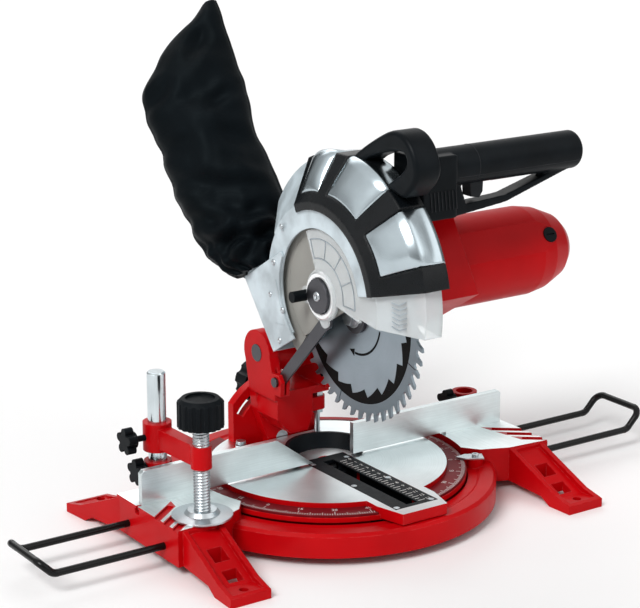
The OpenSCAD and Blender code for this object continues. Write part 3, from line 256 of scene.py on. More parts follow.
def turned(name, color, rough, centre, axis, pitch, rim=None):
    """Metal faced on a lathe: rings round a centre, in the plane across the axis, darker past a rim."""
    s = Shader(name, color, rough, 1.0)
    shift = s.node("ShaderNodeMapping", Vector=s.coords)
    shift.inputs["Location"].default_value = [-c for c in centre]
    across = [0.0 if i == axis else 1.0 for i in range(3)]
    outward = s.vector("MULTIPLY", shift.outputs["Vector"], across)["Vector"]
    radius = s.vector("LENGTH", outward)["Value"]
    wobble = s.node("ShaderNodeTexNoise", Scale=1.0, Detail=3.0)
    wobble.noise_dimensions = "1D"
    s.set(wobble.inputs["W"], s.math("MULTIPLY", radius, 1.0 / pitch))
    lines = wobble.outputs["Fac"]
    cloud = s.noise(24.0, 4.0)
    body = s.mix(s.span(cloud, 0.0, 1.0, 0.3, 0.7), tint(color, 0.88), tint(color, 1.05))
    body = s.mix(s.span(lines, 0.0, 0.4, 0.4, 0.8), body, tint(color, 0.72))
    if rim:
        body = s.mix(s.span(radius, 0.0, 1.0, rim, rim + 0.0004), body, tint(color, 0.62))
    s.base(body)
    s.rough(s.span(lines, rough - 0.06, rough + 0.14))
    s.bump(lines, 0.00003, 0.35)
    # rings spread the shine outward
    s.set(s.bsdf.inputs["Tangent"], outward)
    return s.fixed(Anisotropic=0.7).mat


def clear(name, color):
    """Clear moulded plastic with faint scratches."""
    s = Shader(name, color, 0.06)
    scratch = s.noise(300.0, 5.0, s.stretch(1.0, 6.0, 1.0))
    s.rough(s.span(scratch, 0.03, 0.16, 0.45, 0.8))
    s.base(s.mix(s.span(s.noise(30.0), 0.0, 1.0), tint(color, 0.97), tint(color, 1.02)))
    s.bump(s.noise(60.0, 2.0), 0.0001, 0.3)
    return s.fixed(Transmission_Weight=0.6, IOR=1.42).mat


def print_ink(name, color):
    """Flat printing ink, slightly broken."""
    s = Shader(name, color, 0.55)
    s.base(s.mix(s.span(s.noise(900.0, 4.0), 0.0, 0.35, 0.5, 0.8), color, tint(color, 0.75)))
    s.bump(s.noise(1500.0, 2.0), 0.00001, 0.4)
    return s.fixed(Specular_IOR_Level=0.08).mat


def cloth(name, color):
    """Coarse woven cloth: two crossed threads, a cool sheen and uneven dye."""
    s = Shader(name, color, 0.85)
    warp = s.node("ShaderNodeTexWave", Vector=s.coords, Scale=420.0, Distortion=0.6, Detail=1.0)
    warp.bands_direction = "DIAGONAL"
    weft = s.node("ShaderNodeTexWave", Vector=s.coords, Scale=520.0, Distortion=0.6, Detail=1.0)
    weft.bands_direction = "Z"
    weave = s.math("MULTIPLY", warp.outputs["Fac"], weft.outputs["Fac"])
    dye = s.mix(s.span(s.noise(22.0, 5.0), 0.0, 1.0, 0.3, 0.7), tint(color, 0.7), tint(color, 1.35))
    s.base(s.mix(s.span(weave, 0.0, 0.5), dye, tint(color, 1.5)))
    s.rough(s.span(weave, 0.44, 0.64))
    s.bump(weave, 0.00025, 0.5)
    cool = (0.72, 0.92, 1.0, 1.0)
    s.fixed(Sheen_Weight=0.02, Sheen_Roughness=0.3, Sheen_Tint=cool)
    return s.fixed(Specular_IOR_Level=0.055, Specular_Tint=cool).mat


RED = (0.52, 0.0015, 0.004)
BLACK = (0.004, 0.0055, 0.007)
STEEL = (0.58, 0.625, 0.65)
BLADE_CENTRE, BLADE_RIM = raised(0, ARBOR_Y, ARBOR_Z), 0.0870

look = {
    "red": painted("red_paint", RED),
    "red_motor": painted("red_motor_shell", tint(RED, 0.92), 0.34, 0.00004),
    "scale": painted("scale_band", (0.16, 0.008, 0.012), 0.4, 0.00003),
    "taupe": painted("inner_plate", (0.34, 0.335, 0.31), 0.42, 0.00004),
    "black": plastic("black_plastic", BLACK),
    "soft_black": plastic("handle_plastic", (0.005, 0.0068, 0.0085), 0.34, 0.00007),
    "dark_grey": plastic("switch_plastic", (0.022, 0.024, 0.027), 0.4),
    "trim": plastic("cover_frame_plastic", (0.0035, 0.0048, 0.006), 0.26, 0.00003, 0.22, 0.0030),
    "cover": plastic("cover_plastic", (0.53, 0.61, 0.65), 0.3, 0.00003, 0.4, 0.0016),
    "frost": plastic("frosted_marks", (0.36, 0.41, 0.45), 0.4, 0.00002, 0.2),
    "fence": metal("fence_metal", (0.72, 0.79, 0.80), 0.32, (0.03, 1.0, 1.0)),
    "zinc": metal("zinc_steel", STEEL, 0.28),
    "bright": metal("column_steel", (0.68, 0.75, 0.78), 0.16, (1.0, 1.0, 0.05)),
    "dark_steel": metal("dark_steel", (0.10, 0.10, 0.11), 0.36),
    "rod": painted("rod_paint", (0.004, 0.004, 0.004), 0.2, 0.00001, 0.08, 0.16),
    # the panels' coarse darker streaks, the machining lines at a large scale, are partly frosting and partly
    # painted reflection bands
    "panel": metal("panel_metal", (0.53, 0.61, 0.65), 0.2, (1.0, 0.3, 0.3), 0.000004, 60.0),
    "blade": turned("blade_steel", (0.37, 0.44, 0.49), 0.34, BLADE_CENTRE, 0, 0.0006, BLADE_RIM),
    "table_top": turned("table_top_metal", (0.80, 0.86, 0.87), 0.34, place(0, 0, 0), 2, 0.0008),
    "wing_top": metal("wing_top_metal", (0.86, 0.92, 0.92), 0.36, (1.0, 0.04, 1.0), bars=RED),
    "copper": metal("winding_copper", (0.55, 0.24, 0.10), 0.35),
    "clear": clear("clear_plastic", (0.94, 0.98, 1.0)),
    "ink_black": print_ink("black_ink", (0.004, 0.004, 0.004)),
    "ink_white": print_ink("white_ink", (0.80, 0.80, 0.78)),
    "cloth": cloth("bag_cloth", (0.0024, 0.0036, 0.0047)),
}

node_looks = {
    "red": "base_casting clamp_arm turntable bevel_bracket head_arm gear_case",
    "red_motor": "motor_housing",
    "scale": "mitre_scale",
    "taupe": "guard_side_plate",
    "black": "support_screw_left support_screw_right clamp_arm_knob clamp_knob column_knob_left"
    " column_knob_right table_insert chip_collar bevel_knob head_lock_pin guard_stud"
    " motor_fan brush_caps spindle_lock",
    "trim": "guard_trim",
    "soft_black": "handle carry_handle",
    "dark_grey": "trigger lock_button",
    "cover": "upper_guard dust_port",
    "fence": "fence_left fence_right",
    "zinc": "base_screws mitre_pointer clamp_spindle clamp_pad insert_screws turntable_bolt bevel_pin"
    " bevel_end_stop bevel_zero_stop head_spring arbor arbor_gear arbor_bolt motor_bearings",
    "bright": "clamp_column",
    "dark_steel": "head_pin guard_pivot guard_link blade_flanges stator brushes",
    "rod": "support_left_rod support_right_rod",
    "panel": "guard_panels",
    "blade": "blade",
    "copper": "armature",
    "clear": "lower_guard",
    "cloth": "dust_bag",
}
for key, names in node_looks.items():
    for name in names.split():
        nodes[name].data.materials.clear()
        nodes[name].data.materials.append(look[key])

INSERT_LOW, INSERT_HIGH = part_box("table_insert")


def on_top(face):
    """Whether a face lies at table height and looks straight up."""
    return face.normal.z > 0.99 and abs(face.center.z - TABLE_Z * MM) < 0.0002


def in_slot(face):
    """Whether a face of the table lies below its insert, where the slot shows it; black on these faces is
    painted shade in the slot.
    """
    x, y, z = face.center
    under = INSERT_LOW.x < x < INSERT_HIGH.x and INSERT_LOW.y < y < INSERT_HIGH.y
    return under and z < TABLE_Z * MM - 0.0005


def dress_faces(name, key, chosen):
    """Another material on the chosen faces of a CAD node."""
    mesh = nodes[name].data
    mesh.materials.append(look[key])
    for face in mesh.polygons:
        if chosen(face):
            face.material_index = len(mesh.materials) - 1


dress_faces("base_casting", "wing_top", on_top)
dress_faces("turntable", "table_top", on_top)
# the slot's own faces are red like the table; the black put on them is painted shade inside the slot
dress_faces("turntable", "black", in_slot)


# Pieces made of meshes


def added(name, data):
    """A new object in the scene."""
    obj = bpy.data.objects.new(name, data)
    bpy.context.scene.collection.objects.link(obj)
    return obj


def piece(name, verts, faces, key, body, slot=None, smooth=False):
    """A new mesh object in the row frame that rides on a body."""
    mesh = bpy.data.meshes.new(name)
    mesh.from_pydata([tuple(v) for v in verts], [], faces)
    mesh.materials.append(look[key])
    for face in mesh.polygons:
        face.use_smooth = smooth
    mesh.validate()
    obj = added(name, mesh)
    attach(obj, body)
    return obj


def walled(obj, name, thick):
    """Gives an open surface a wall on its inner side."""
    wall = obj.modifiers.new(name, "SOLIDIFY")
    wall.thickness = thick * MM
    wall.offset = -1.0


def curve_mesh(curve):
    """Vertices and faces of a curve or text, which is then removed."""
    holder = added("holder", curve)
    shape = holder.evaluated_get(bpy.context.evaluated_depsgraph_get())
    mesh = bpy.data.meshes.new_from_object(shape)
    verts = [v.co.copy() for v in mesh.vertices]
    faces = [tuple(face.vertices) for face in mesh.polygons]
    bpy.data.objects.remove(holder)
    bpy.data.curves.remove(curve)
    bpy.data.meshes.remove(mesh)
    return verts, faces


def circle(turns):
    """Angles of that many points round a full turn."""
    return [2 * math.pi * i / turns for i in range(turns)]


def tube_faces(rings, turns):
    """Faces between neighbouring rings of points."""
    faces = []
    for k in range(rings - 1):
        for i in range(turns):
            j = (i + 1) % turns
            faces.append((k * turns + i, k * turns + j, (k + 1) * turns + j, (k + 1) * turns + i))
    return faces


def lathe(profile, centre, axis, turns=48):
    """Turns (radius, height) points in millimetres about an axis; closed where the radius is 0."""
    axis = Vector(axis).normalized()
    side = axis.orthogonal().normalized()
    across = axis.cross(side)
    verts = []
    for radius, height in profile:
        for a in circle(turns):
            out = side * math.cos(a) + across * math.sin(a)
            verts.append(Vector(centre) + (axis * height + out * radius) * MM)
    return verts, tube_faces(len(profile), turns)


def ribbon(pairs):
    """A strip between pairs of points."""
    verts = [point for pair in pairs for point in pair]
    faces = [(2 * k, 2 * k + 2, 2 * k + 3, 2 * k + 1) for k in range(len(pairs) - 1)]
    return verts, faces


def slat(a, b, width, normal, thick):
    """A thin bar from a to b, in metres, lying on the surface with that normal."""
    a, b, normal = Vector(a), Vector(b), Vector(normal).normalized()
    side = (b - a).cross(normal).normalized() * (width * MM / 2)
    lift = normal * (thick * MM)
    base = [a - side, a + side, b + side, b - side]
    inset = [p + lift + ((a + b) / 2 - p) * 0.04 for p in base]
    faces = [(4, 5, 6, 7), (0, 1, 5, 4), (1, 2, 6, 5), (2, 3, 7, 6), (3, 0, 4, 7)]
    return base + inset, faces


def socket_screw(at, axis, r, h):
    """A pan head with a round socket."""
    socket = [(0.0, h * 0.35), (r * 0.42, h * 0.35), (r * 0.45, h)]
    rim = [(r * 0.75, h * 0.96), (r * 0.95, h * 0.7), (r, 0.0)]
    return lathe(socket + rim, at, axis, 24)


def joined(parts):
    """One list of vertices and faces from several."""
    verts, faces = [], []
    for v, f in parts:
        faces += [tuple(len(verts) + i for i in face) for face in f]
        verts += v
    return verts, faces


# Dust bag

BAG_AT = raised(-15, 42.5, 219.5)
BAG_TURN = HEAD @ Matrix.Rotation(math.radians(-34), 3, "Z")
BAG_W = BAG_TURN @ Vector((1, 0, 0))
BAG_T = BAG_TURN @ Vector((0, 1, 0))
BAG_L = HEAD @ UP
# height, left edge, right edge and half thickness, in millimetres from the outlet's mouth
BAG_LEVELS = [
    (-0.5, -31, 23, 25), (9, -44, 25, 28), (22, -52, 31, 31), (42, -60, 36, 32.5), (72, -63, 37, 33),
    (105, -65, 35, 33), (150, -68, 31, 32), (188, -72, 31, 29), (210, -69, 30, 26), (228, -56, 30, 22),
    (256, -31, 30, 15), (274, 2, 31, 10), (288, 19, 30, 5),
]
# creases from point to point on the flat bag, with depth and width
BAG_CREASES = [
    ((-20, 6), (34, 40), 7, 5), ((-44, 16), (24, 62), 7, 6), ((-58, 40), (6, 30), 6, 5),
    ((-62, 72), (-6, 48), 6, 6), ((36, 74), (-14, 92), 6, 7), ((-66, 118), (-22, 92), 6, 7),
    ((32, 186), (-6, 172), 6, 6), ((-74, 192), (-24, 214), 6, 8), ((33, 128), (-10, 150), 5, 8),
    ((-68, 150), (-30, 140), 5, 7), ((24, 262), (-8, 226), 5, 8),
]
# height and radius of the cloth turned in round the tube
CUFF = [(16, 21.0), (12, 21.3), (6, 20.8), (2, 21.6), (-0.3, 23.2)]


def between(a, b, c, d, t):
    """A smooth curve from b to c, which comes from a and goes on to d."""
    bend, twist = 2 * a - 5 * b + 4 * c - d, 3 * b - a - 3 * c + d
    return 0.5 * (2 * b + (c - a) * t + bend * t * t + twist * t ** 3)


def smooth_levels(levels, steps):
    """Heights and outlines between the levels, on a smooth curve through them."""
    rows = []
    for i in range(len(levels) - 1):
        four = [levels[max(i - 1, 0)], levels[i], levels[i + 1], levels[min(i + 2, len(levels) - 1)]]
        for k in range(steps):
            rows.append([between(*values, k / steps) for values in zip(*four)])
    return rows + [list(levels[-1])]


def crease(x, h):
    """How far the cloth is drawn in, with a low swell on both sides of each crease."""
    push = 0.0
    for (x0, h0), (x1, h1), deep, wide in BAG_CREASES:
        dx, dh = x1 - x0, h1 - h0
        t = min(1.0, max(0.0, ((x - x0) * dx + (h - h0) * dh) / (dx * dx + dh * dh)))
        d = math.hypot(x - x0 - t * dx, h - h0 - t * dh) / wide
        across = 0.55 * math.exp(-((d - 1.9) ** 2)) - math.exp(-d * d)
        push += deep * (0.15 + 0.85 * math.sin(math.pi * t)) * across
    return push


def bag_place(x, y, h):
    """A point across, through and along the bag, in metres in the row frame."""
    return BAG_AT + (BAG_W * x + BAG_T * y + BAG_L * h) * MM


def bag_point(theta, h, left, right, half):
    """A point of the cloth: a lens between two side seams, with gathers, folds and slack."""
    mid, wide = (left + right) / 2, (right - left) / 2
    c, s = math.cos(theta), math.sin(theta)
    x = mid + wide * c
    y = half * math.copysign(abs(s) ** 0.9, s)
    flat = Vector((x, y, h))
    gather = math.exp(-max(h, 0) / 24)
    fold = 2.6 * gather * math.sin(13 * theta + 2.2 * noise.noise(flat / 30))
    sagging = math.exp(-((h - 34) / 26) ** 2)
    sag = 6.4 * sagging * math.sin(h / 5.6 + 0.055 * x + 2.5 * noise.noise(flat / 38))
    tug = 3.2 * math.sin((h + 0.9 * x) / 15 + 3.0 * noise.noise(flat / 55)) * s * s
    slack = 5.2 * noise.noise(flat / 42 + Vector((3, 7, 1))) + 1.6 * s * s * noise.noise(flat / 15)
    seam = 1.3 * math.exp(-((1 - abs(c)) / 0.004))
    rear = min(1.0, max(0.0, (s + 0.3) / 0.6))
    drawn = 0.75 * (1 - rear) * crease(x + 8, h) + 0.45 * rear * crease(-x - 34, h + 14)
    push = (fold + sag * abs(s) + tug + slack + drawn) * min(1.0, half / 18) + seam
    out = Vector((c * half, s * wide, 0)).normalized()
    return bag_place(x + out.x * push, y + out.y * push, h)


def dust_bag():
    """Cloth bag, turned in round the outlet's tube and closed at its tip."""
    angles = circle(168)
    turns = len(angles)
    rings = [[bag_place(r * math.cos(a), r * math.sin(a), h) for a in angles] for h, r in CUFF]
    rings += [[bag_point(a, *row) for a in angles] for row in smooth_levels(BAG_LEVELS, 9)]
    verts = [v for ring in rings for v in ring]
    faces = tube_faces(len(rings), turns)
    tip, last = len(verts), len(verts) - turns
    verts.append(sum(rings[-1], Vector()) / turns + BAG_L * 0.002)
    faces += [(last + i, last + (i + 1) % turns, tip) for i in range(turns)]
    bag = piece("dust_bag_cloth", verts, faces, "cloth", "head", "cloth", True)
    walled(bag, "cloth_wall", 0.8)
    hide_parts("dust_bag")


dust_bag()


# Blade cover

COVER_R, FACE_X, CREASE_X, RIGHT_X = 136.0, -36.0, -6.0, 22.0
BEVEL_R, BAND_R = 92.0, 101.0
# first and last angle of each bright panel
PANELS = [(100.1, 116.9), (125.1, 153.9), (164.1, 188.9)]


def on_cover(r, x, angle):
    """A point turned about the clear guard's pivot, angle from the rear towards the top."""
    a = math.radians(angle)
    return raised(x, GUARD_Y + r * math.cos(a), GUARD_Z + r * math.sin(a))


def bevel_x(r, depth=0.0):
    """x of the cover's slanted face at that radius."""
    return FACE_X + depth + (r - BEVEL_R) / (COVER_R - BEVEL_R) * (CREASE_X - FACE_X)


def panel_line(v):
    """Radius, x and lean to the left, from a panel's inner edge (0) over the crease to its right edge (1)."""
    bend_r, bend_x = COVER_R - 4, CREASE_X + 5
    if v < 0.55:
        r = BAND_R + (bend_r - BAND_R) * (v / 0.55)
        return r, bevel_x(r), 0.83
    if v < 0.75:
        t = (v - 0.55) / 0.2
        corner = [(bend_r, bevel_x(bend_r)), (COVER_R, CREASE_X), (COVER_R, bend_x)]
        r, x = ((1 - t) ** 2 * a + 2 * t * (1 - t) * b + t * t * c for a, b, c in zip(*corner))
        return r, x, 0.15
    return COVER_R, bend_x + (RIGHT_X - bend_x) * ((v - 0.75) / 0.25), 0.15


def bulge(share):
    """0 at both ends and 1 over most of the middle."""
    return 1 - abs(2 * share - 1) ** 3.2


def cover_panels():
    """Bright panels that swell between the ribs and round over the crease."""
    parts = []
    across, along = 26, 22
    row = along + 1
    for start, end in PANELS:
        verts, faces = [], []
        for i in range(across + 1):
            v = i / across
            r, x, lean = panel_line(v)
            for k in range(row):
                u = k / along
                swell = 5.0 * bulge(u) * bulge(min(v / 0.9, 1)) - 0.5
                angle = start + (end - start) * u
                verts.append(on_cover(r + swell * (1 - lean * 0.4), x - swell * lean, angle))
        for i in range(across):
            for k in range(along):
                faces.append((i * row + k, i * row + k + 1, (i + 1) * row + k + 1, (i + 1) * row + k))
        parts.append((verts, faces))
    panels = piece("cover_panels", *joined(parts), "panel", "head", "chrome_panel", True)
    walled(panels, "panel_wall", 1.8)
    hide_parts("guard_panels")


def sector(r0, r1, x0, x1, start, end, steps=40):
    """A flat ring sector about the clear guard's pivot."""
    verts = []
    for k in range(steps + 1):
        a = start + (end - start) * k / steps
        verts += [on_cover(r0, x0, a), on_cover(r1, x0, a), on_cover(r1, x1, a), on_cover(r0, x1, a)]
    last = 4 * steps
    caps = [(0, 1, 2, 3), (last + 3, last + 2, last + 1, last)]
    return verts, tube_faces(steps + 1, 4) + caps


def guard_pivot_details():
    """Liner behind the clear guard, the screw of its pivot and its raised boss."""
    piece("guard_liner", *sector(62, 86, -25.0, -22.8, -24, 104), "taupe", "head", "taupe_plate")
    centre = raised(FACE_X, GUARD_Y, GUARD_Z)
    screw = socket_screw(centre, LEFT, 5.0, 1.6)
    piece("pivot_screw", *screw, "zinc", "head", "bright_steel", True)
    profile = [(17.5, -5.7), (17.5, -3.6), (18.5, -2.9), (22, -2.9), (23.5, -3.6), (24, -5.7)]
    boss = lathe(profile, centre, LEFT)
    piece("guard_boss", *boss, "clear", "clear_guard", "clear_guard", True)


def guard_marks():
    """Moulded chevrons on the clear guard's nose and ridges on its face."""
    first, step, lean, depth = 202.5, 2.5, 1.6, 5.2
    outward = HEAD @ Vector((-0.83, -0.45, -0.3))
    point_r = 110.0
    bars = []
    for i in range(6):
        a = first + step * i
        for end_r in (104.0, 116.0):
            end = on_cover(end_r, bevel_x(end_r, depth), a)
            point = on_cover(point_r, bevel_x(point_r, depth), a + lean)
            bars.append(slat(end, point, 0.9, outward, 0.7))
    piece("nose_chevrons", *joined(bars), "frost", "clear_guard", "clear_guard")
    face = FACE_X + 5.7
    ridges = [sector(r, r + 1.0, face - 0.5, face, 101, 214) for r in (36.0, 55.0)]
    ridges += [sector(36.5, 55.5, face - 0.5, face, a, a + 1.2, 1) for a in (101, 128, 156, 184, 212.8)]
    piece("guard_ridges", *joined(ridges), "frost", "clear_guard", "clear_guard")


def port_marks():
    """Ribs on the outlet's left wall, its screws and those of the cover's band."""
    long_rib = slat(raised(FACE_X, 0, 196), raised(FACE_X, 6, 170), 2.0, LEFT, 0.5)
    short_rib = slat(raised(FACE_X, 8, 150), raised(FACE_X, 24, 158), 0.8, LEFT, 0.3)
    piece("port_ribs", *joined([long_rib, short_rib]), "cover", "head", "grey_plastic")
    port_screws = ((4.5, 165), (26, 140), (-6, 212))
    heads = [socket_screw(raised(FACE_X, y, z), LEFT, 3.2, 1.2) for y, z in port_screws]
    heads += [socket_screw(on_cover(84, FACE_X, a), LEFT, 2.8, 1.0) for a in (20, 74)]
    piece("cover_screws", *joined(heads), "zinc", "head", "bright_steel", True)


cover_panels()
guard_pivot_details()
guard_marks()
port_marks()


# Marks

# how far ink stands proud, in millimetres
INK = 0.06


def blade_print():
    """Printed ring of saw teeth and a turning arrow on the blade's left face."""
    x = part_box("blade")[0].x / MM - INK
    ring_in, ring_out, root_r = 81.0, 87.0, 80.4
    teeth, tooth_deep, tooth_lean, steps = 20, 8.0, 3.0, 6
    arrow_start, arrow_end, arrow_steps = 222, 306, 16

    def at(r, angle):
        a = math.radians(angle)
        return raised(x, ARBOR_Y + r * math.cos(a), ARBOR_Z + r * math.sin(a))

    def tooth(i):
        pairs = []
        for k in range(steps + 1):
            t = k / steps
            angle = (i + t) * 360 / teeth
            point = at(root_r - tooth_deep * (1 - t), angle + tooth_lean * (1 - t))
            pairs.append((point, at(ring_in, angle)))
        return ribbon(pairs)

    def arc(r0, r1, start, end, count):
        angles = [start + (end - start) * k / count for k in range(count + 1)]
        return ribbon([(at(r0, a), at(r1, a)) for a in angles])

    parts = [tooth(i) for i in range(teeth)]
    parts.append(arc(ring_in, ring_out, 0, 360, 90))
    parts.append(arc(37.0, 39.4, arrow_start, arrow_end, arrow_steps))
    parts.append(([at(34.2, 307), at(42.2, 307), at(38.2, 320)], [(0, 2, 1)]))
    piece("blade_print", *joined(parts), "ink_black", "blade_shaft", "dark_steel")


def number(text, size, at, turn):
    """Figures lying flat, as vertices and faces in the row frame."""
    curve = bpy.data.curves.new("figures", "FONT")
    curve.body = text
    curve.size = size
    curve.align_x = "CENTER"
    curve.align_y = "CENTER"
    curve.resolution_u = 3
    verts, faces = curve_mesh(curve)
    place_at = Matrix.Translation(at) @ Matrix.Rotation(turn, 4, "Z")
    return [place_at @ v for v in verts], faces


def degree_scale():
    """Degree lines and figures on the ring round the table, zero at the pointer and at its mirror image."""
    lo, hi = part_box("mitre_pointer")
    middle = (lo + hi) / 2 / MM - Vector((0, AXIS_Y, 0))
    zero = math.degrees(math.atan2(middle.x, -middle.y))
    ring_top, line_r, figure_r = 40.05, 138.4, 125.6
    arm_r, arm_half = 130, 33

    def at(r, angle):
        a = math.radians(angle)
        return place(r * math.sin(a), -r * math.cos(a), ring_top)

    parts = []
    for middle_angle in (zero, -zero):
        for d in range(-48, 49):
            angle = middle_angle + d
            on_arm = abs(arm_r * math.sin(math.radians(angle))) < arm_half and abs(angle) < 90
            if on_arm:
                continue
            long = 8.5 if d % 15 == 0 else 6.0 if d % 5 == 0 else 3.6
            parts.append(slat(at(line_r, angle), at(line_r - long, angle), 0.55, UP, INK))
            if d % 15 == 0:
                parts.append(number(str(abs(d)), 0.0062, at(figure_r, angle), math.radians(angle)))
    piece("degree_marks", *joined(parts), "ink_white", "table", "bright_steel")


def insert_ruler():
    """Centimetre marks beside the blade's slot."""
    line_x, figure_x, first_y = 7.2, 19.0, -12
    parts = []
    for mm in range(0, 131, 5):
        y = first_y - mm
        long = 8.0 if mm % 10 == 0 else 5.0
        parts.append(slat(place(line_x, y, TABLE_Z), place(line_x + long, y, TABLE_Z), 0.7, UP, INK))
        if mm % 10 == 0:
            parts.append(number(str(mm // 10), 0.0058, place(figure_x, y, TABLE_Z + 0.05), 0.0))
    piece("insert_marks", *joined(parts), "ink_white", "table", "bright_steel")


blade_print()
degree_scale()
insert_ruler()


# Clamp screw and handle


def threaded_spindle():
    """Clamp screw with a cut thread in place of the plain rod."""
    lo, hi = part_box("clamp_spindle")
    centre = (lo + hi) / 2
    shank = [v.co for v in nodes["clamp_spindle"].data.vertices if abs(v.co.z - lo.z) > 0.006]
    r = max(math.hypot(p.x - centre.x, p.y - centre.y) for p in shank)
    pitch, depth, turns, rows_per_pitch = 0.003, 0.0009, 28, 8
    rows = int((hi.z - lo.z) / pitch * rows_per_pitch)
    verts = []
    for k in range(rows + 1):
        z = lo.z + (hi.z - lo.z) * k / rows
        for i, a in enumerate(circle(turns)):
            wave = abs(((z / pitch - i / turns) % 1.0) * 2 - 1)
            rad = r - depth * min(1.0, max(0.0, wave * 1.6 - 0.3))
            verts.append((centre.x + rad * math.cos(a), centre.y + rad * math.sin(a), z))
    caps = [tuple(range(turns))[::-1], tuple(rows * turns + i for i in range(turns))]
    faces = tube_faces(rows + 1, turns) + caps
    rod = piece("clamp_thread", verts, faces, "zinc", "clamp_screw", "bright_steel", True)
    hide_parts("clamp_spindle")


def handle_details():
    """Vent bars beside the carrying bow and the seams of the grip's shells."""
    bars = []
    bar_y, bar_top, bar_low = GRIP.y - 0.022, GRIP.z - 0.017, GRIP.z - 0.036
    for i in range(4):
        for dx in (0.0, 0.0042):
            x = 0.034 + 0.0085 * i + dx
            bars.append(slat((x, bar_y, bar_top), (x + 0.002, bar_y, bar_low), 1.0, (0, -1, 0), 0.8))
    piece("handle_vents", *joined(bars), "dark_grey", "head", "black_plastic")
    seam_wide, seam_high, ring_x, ring_r = 0.7, 0.3, 0.096, 0.0189
    low = math.radians(24)
    out = Vector((0, -math.cos(low), -math.sin(low)))
    seam = GRIP + out * 0.0188
    start, end = seam + Vector((0.070, 0, 0)), seam + Vector((0.222, 0, 0))
    seams = [slat(start, end, seam_wide, out, seam_high)]
    for k in range(-4, 24):
        a, b = math.radians(10 * k), math.radians(10 * k + 10)
        ways = [Vector((0, -math.cos(v), math.sin(v))) for v in (a, b, (a + b) / 2)]
        ends = [GRIP + Vector((ring_x, 0, 0)) + way * ring_r for way in ways[:2]]
        seams.append(slat(*ends, seam_wide, ways[2], seam_high))
    piece("handle_seams", *joined(seams), "dark_grey", "head", "black_plastic")


# y and z of the carrying bow's outline from the grip, in millimetres, before its corners are cut
BOW_OUTLINE = [
    (56, 8), (30, 25), (6, 38), (-8, 44), (-18, 45.5), (-30, 42.5), (-41, 34), (-48, 22), (-51.5, 9),
    (-45, -3), (-36, -11.5), (-30, -17), (-16, -14), (-1, -9), (-11, -2.5), (-22, 4), (-31, 12), (-34, 18),
    (-31, 25), (-24, 27), (-8, 24.5), (12, 18.5), (30, 11.5), (36, 7), (44, 4),
]
BOW_X, BOW_HALF, BOW_ROUND = 0.01095, 0.01495, 0.0045


def cut_corners(outline):
    """A closed outline with each corner cut, at a quarter of its sides."""
    following = outline[1:] + outline[:1]
    return [
        (a[0] * u + b[0] * (1 - u), a[1] * u + b[1] * (1 - u))
        for a, b in zip(outline, following) for u in (0.75, 0.25)
    ]


def carry_bow():
    """Carrying bow with rounded edges, standing on the blade cover."""
    outline = cut_corners(cut_corners(BOW_OUTLINE))
    curve = bpy.data.curves.new("bow", "CURVE")
    curve.dimensions = "2D"
    curve.fill_mode = "BOTH"
    curve.bevel_depth = BOW_ROUND
    curve.bevel_resolution = 4
    curve.offset = -BOW_ROUND
    curve.extrude = BOW_HALF - BOW_ROUND
    line = curve.splines.new("POLY")
    line.points.add(len(outline) - 1)
    for point, (y, z) in zip(line.points, outline):
        point.co = (y * MM, z * MM, 0.0, 1.0)
    line.use_cyclic_u = True
    drawn, faces = curve_mesh(curve)
    verts = [(BOW_X + v.z, GRIP.y + v.x, GRIP.z + v.y) for v in drawn]
    bow = piece("carry_bow", verts, faces, "soft_black", "head", "black_plastic", True)
    weld = bow.modifiers.new("weld", "WELD")
    weld.merge_threshold = 0.00002
    for face in bow.data.polygons:
        face.use_smooth = abs(face.normal.x) < 0.99
    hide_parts("carry_handle")


def softened(name, grid, passes):
    """Rounds the edges of a moulded CAD piece with modifiers."""
    obj = nodes[name]
    weld = obj.modifiers.new("weld", "WELD")
    weld.merge_threshold = 0.00001
    skin = obj.modifiers.new("skin", "REMESH")
    skin.mode = "VOXEL"
    skin.voxel_size = grid * MM
    skin.use_smooth_shade = True
    ease = obj.modifiers.new("ease", "SMOOTH")
    ease.factor = 0.5
    ease.iterations = passes


threaded_spindle()
handle_details()
carry_bow()
softened("handle", 1.2, 8)


# Floor, light and camera

# height and turn round the part in degrees, spread in degrees, and power
LAMPS = {
    "key": (46, -66, 26, 2.1),
    "fill": (38, 40, 50, 0.35),
    "rim": (40, 165, 40, 0.6),
}


def pale_floor():
    """Plain floor just under the feet."""
    half, z = 8, cad_box[0].z - 0.0002
    mesh = bpy.data.meshes.new("floor")
    corners = [(-half, -half, z), (half, -half, z), (half, half, z), (-half, half, z)]
    mesh.from_pydata(corners, [], [(0, 1, 2, 3)])
    floor = added("floor", mesh)
    s = Shader("floor_white", (0.97, 0.97, 0.97), 0.75)
    s.base(s.mix(s.span(s.noise(3.0, 3.0), 0.0, 1.0), (0.96, 0.96, 0.96), (0.98, 0.98, 0.98)))
    floor.data.materials.append(s.mat)


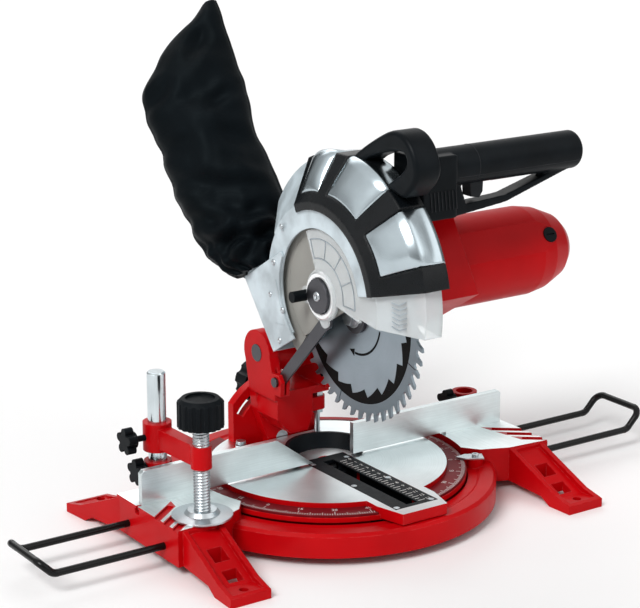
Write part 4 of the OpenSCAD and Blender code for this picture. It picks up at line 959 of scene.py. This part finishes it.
def soft_world():
    """White surroundings, dim for matt faces, with softboxes that show in polished metal."""
    world = bpy.data.worlds.new("studio")
    bpy.context.scene.world = world
    world.use_nodes = True
    tree = world.node_tree
    add, link = tree.nodes.new, tree.links.new

    def calc(operation, a, b=0.0):
        n = add("ShaderNodeMath")
        n.operation = operation
        for socket, value in zip(n.inputs, (a, b)):
            if isinstance(value, bpy.types.NodeSocket):
                link(value, socket)
            else:
                socket.default_value = value
        return n.outputs[0]

    # softboxes: broad light bands round the horizon and a light ceiling
    ways = add("ShaderNodeSeparateXYZ")
    link(add("ShaderNodeTexCoord").outputs["Generated"], ways.inputs[0])
    around = calc("ARCTAN2", ways.outputs["Y"], ways.outputs["X"])
    bands = calc("MULTIPLY", calc("SINE", calc("ADD", calc("MULTIPLY", around, 3.0), -1.3)), 0.3)
    ceiling = calc("MULTIPLY", calc("MAXIMUM", ways.outputs["Z"], 0.0), 0.6)
    boxes = calc("MINIMUM", calc("ADD", calc("ADD", bands, 0.5), ceiling), 0.9)
    rays = add("ShaderNodeLightPath")
    plain = calc("MAXIMUM", rays.outputs["Is Camera Ray"], rays.outputs["Is Transmission Ray"])
    level = add("ShaderNodeMapRange")
    level.inputs["To Min"].default_value = 0.38
    level.inputs["To Max"].default_value = 1.0
    link(plain, level.inputs["Value"])
    mixed = add("ShaderNodeMix")
    glossy = calc("MULTIPLY", rays.outputs["Is Glossy Ray"], calc("SUBTRACT", 1.0, plain))
    link(glossy, mixed.inputs[0])
    link(level.outputs["Result"], mixed.inputs[2])
    link(boxes, mixed.inputs[3])
    link(mixed.outputs[0], tree.nodes["Background"].inputs["Strength"])
    tree.nodes["Background"].inputs["Color"].default_value = (1, 1, 1, 1)


def lamps():
    """Three broad lamps that shine on the origin."""
    for name, (height, turn, spread, power) in LAMPS.items():
        data = bpy.data.lights.new(name, "SUN")
        data.angle = math.radians(spread)
        data.energy = power
        lamp = added(name, data)
        high, side = math.radians(height), math.radians(turn)
        flat = math.cos(high)
        toward = Vector((math.sin(side) * flat, -math.cos(side) * flat, math.sin(high)))
        lamp.location = toward * 3
        lamp.rotation_euler = (-toward).to_track_quat("-Z", "Y").to_euler()


def camera():
    """The photograph's viewpoint."""
    data = bpy.data.cameras.new("camera")
    data.sensor_width = 36.0
    data.lens = 112.5
    data.clip_end = 30.0
    cam = added("camera", data)
    cam.location = (-1.0774, -1.5456, 0.7458)
    cam.rotation_euler = Euler((math.radians(74.2), 0.0, math.radians(-34.3)))
    bpy.context.scene.camera = cam


pale_floor()
soft_world()
lamps()
camera()
bpy.context.scene.view_settings.view_transform = "Standard"
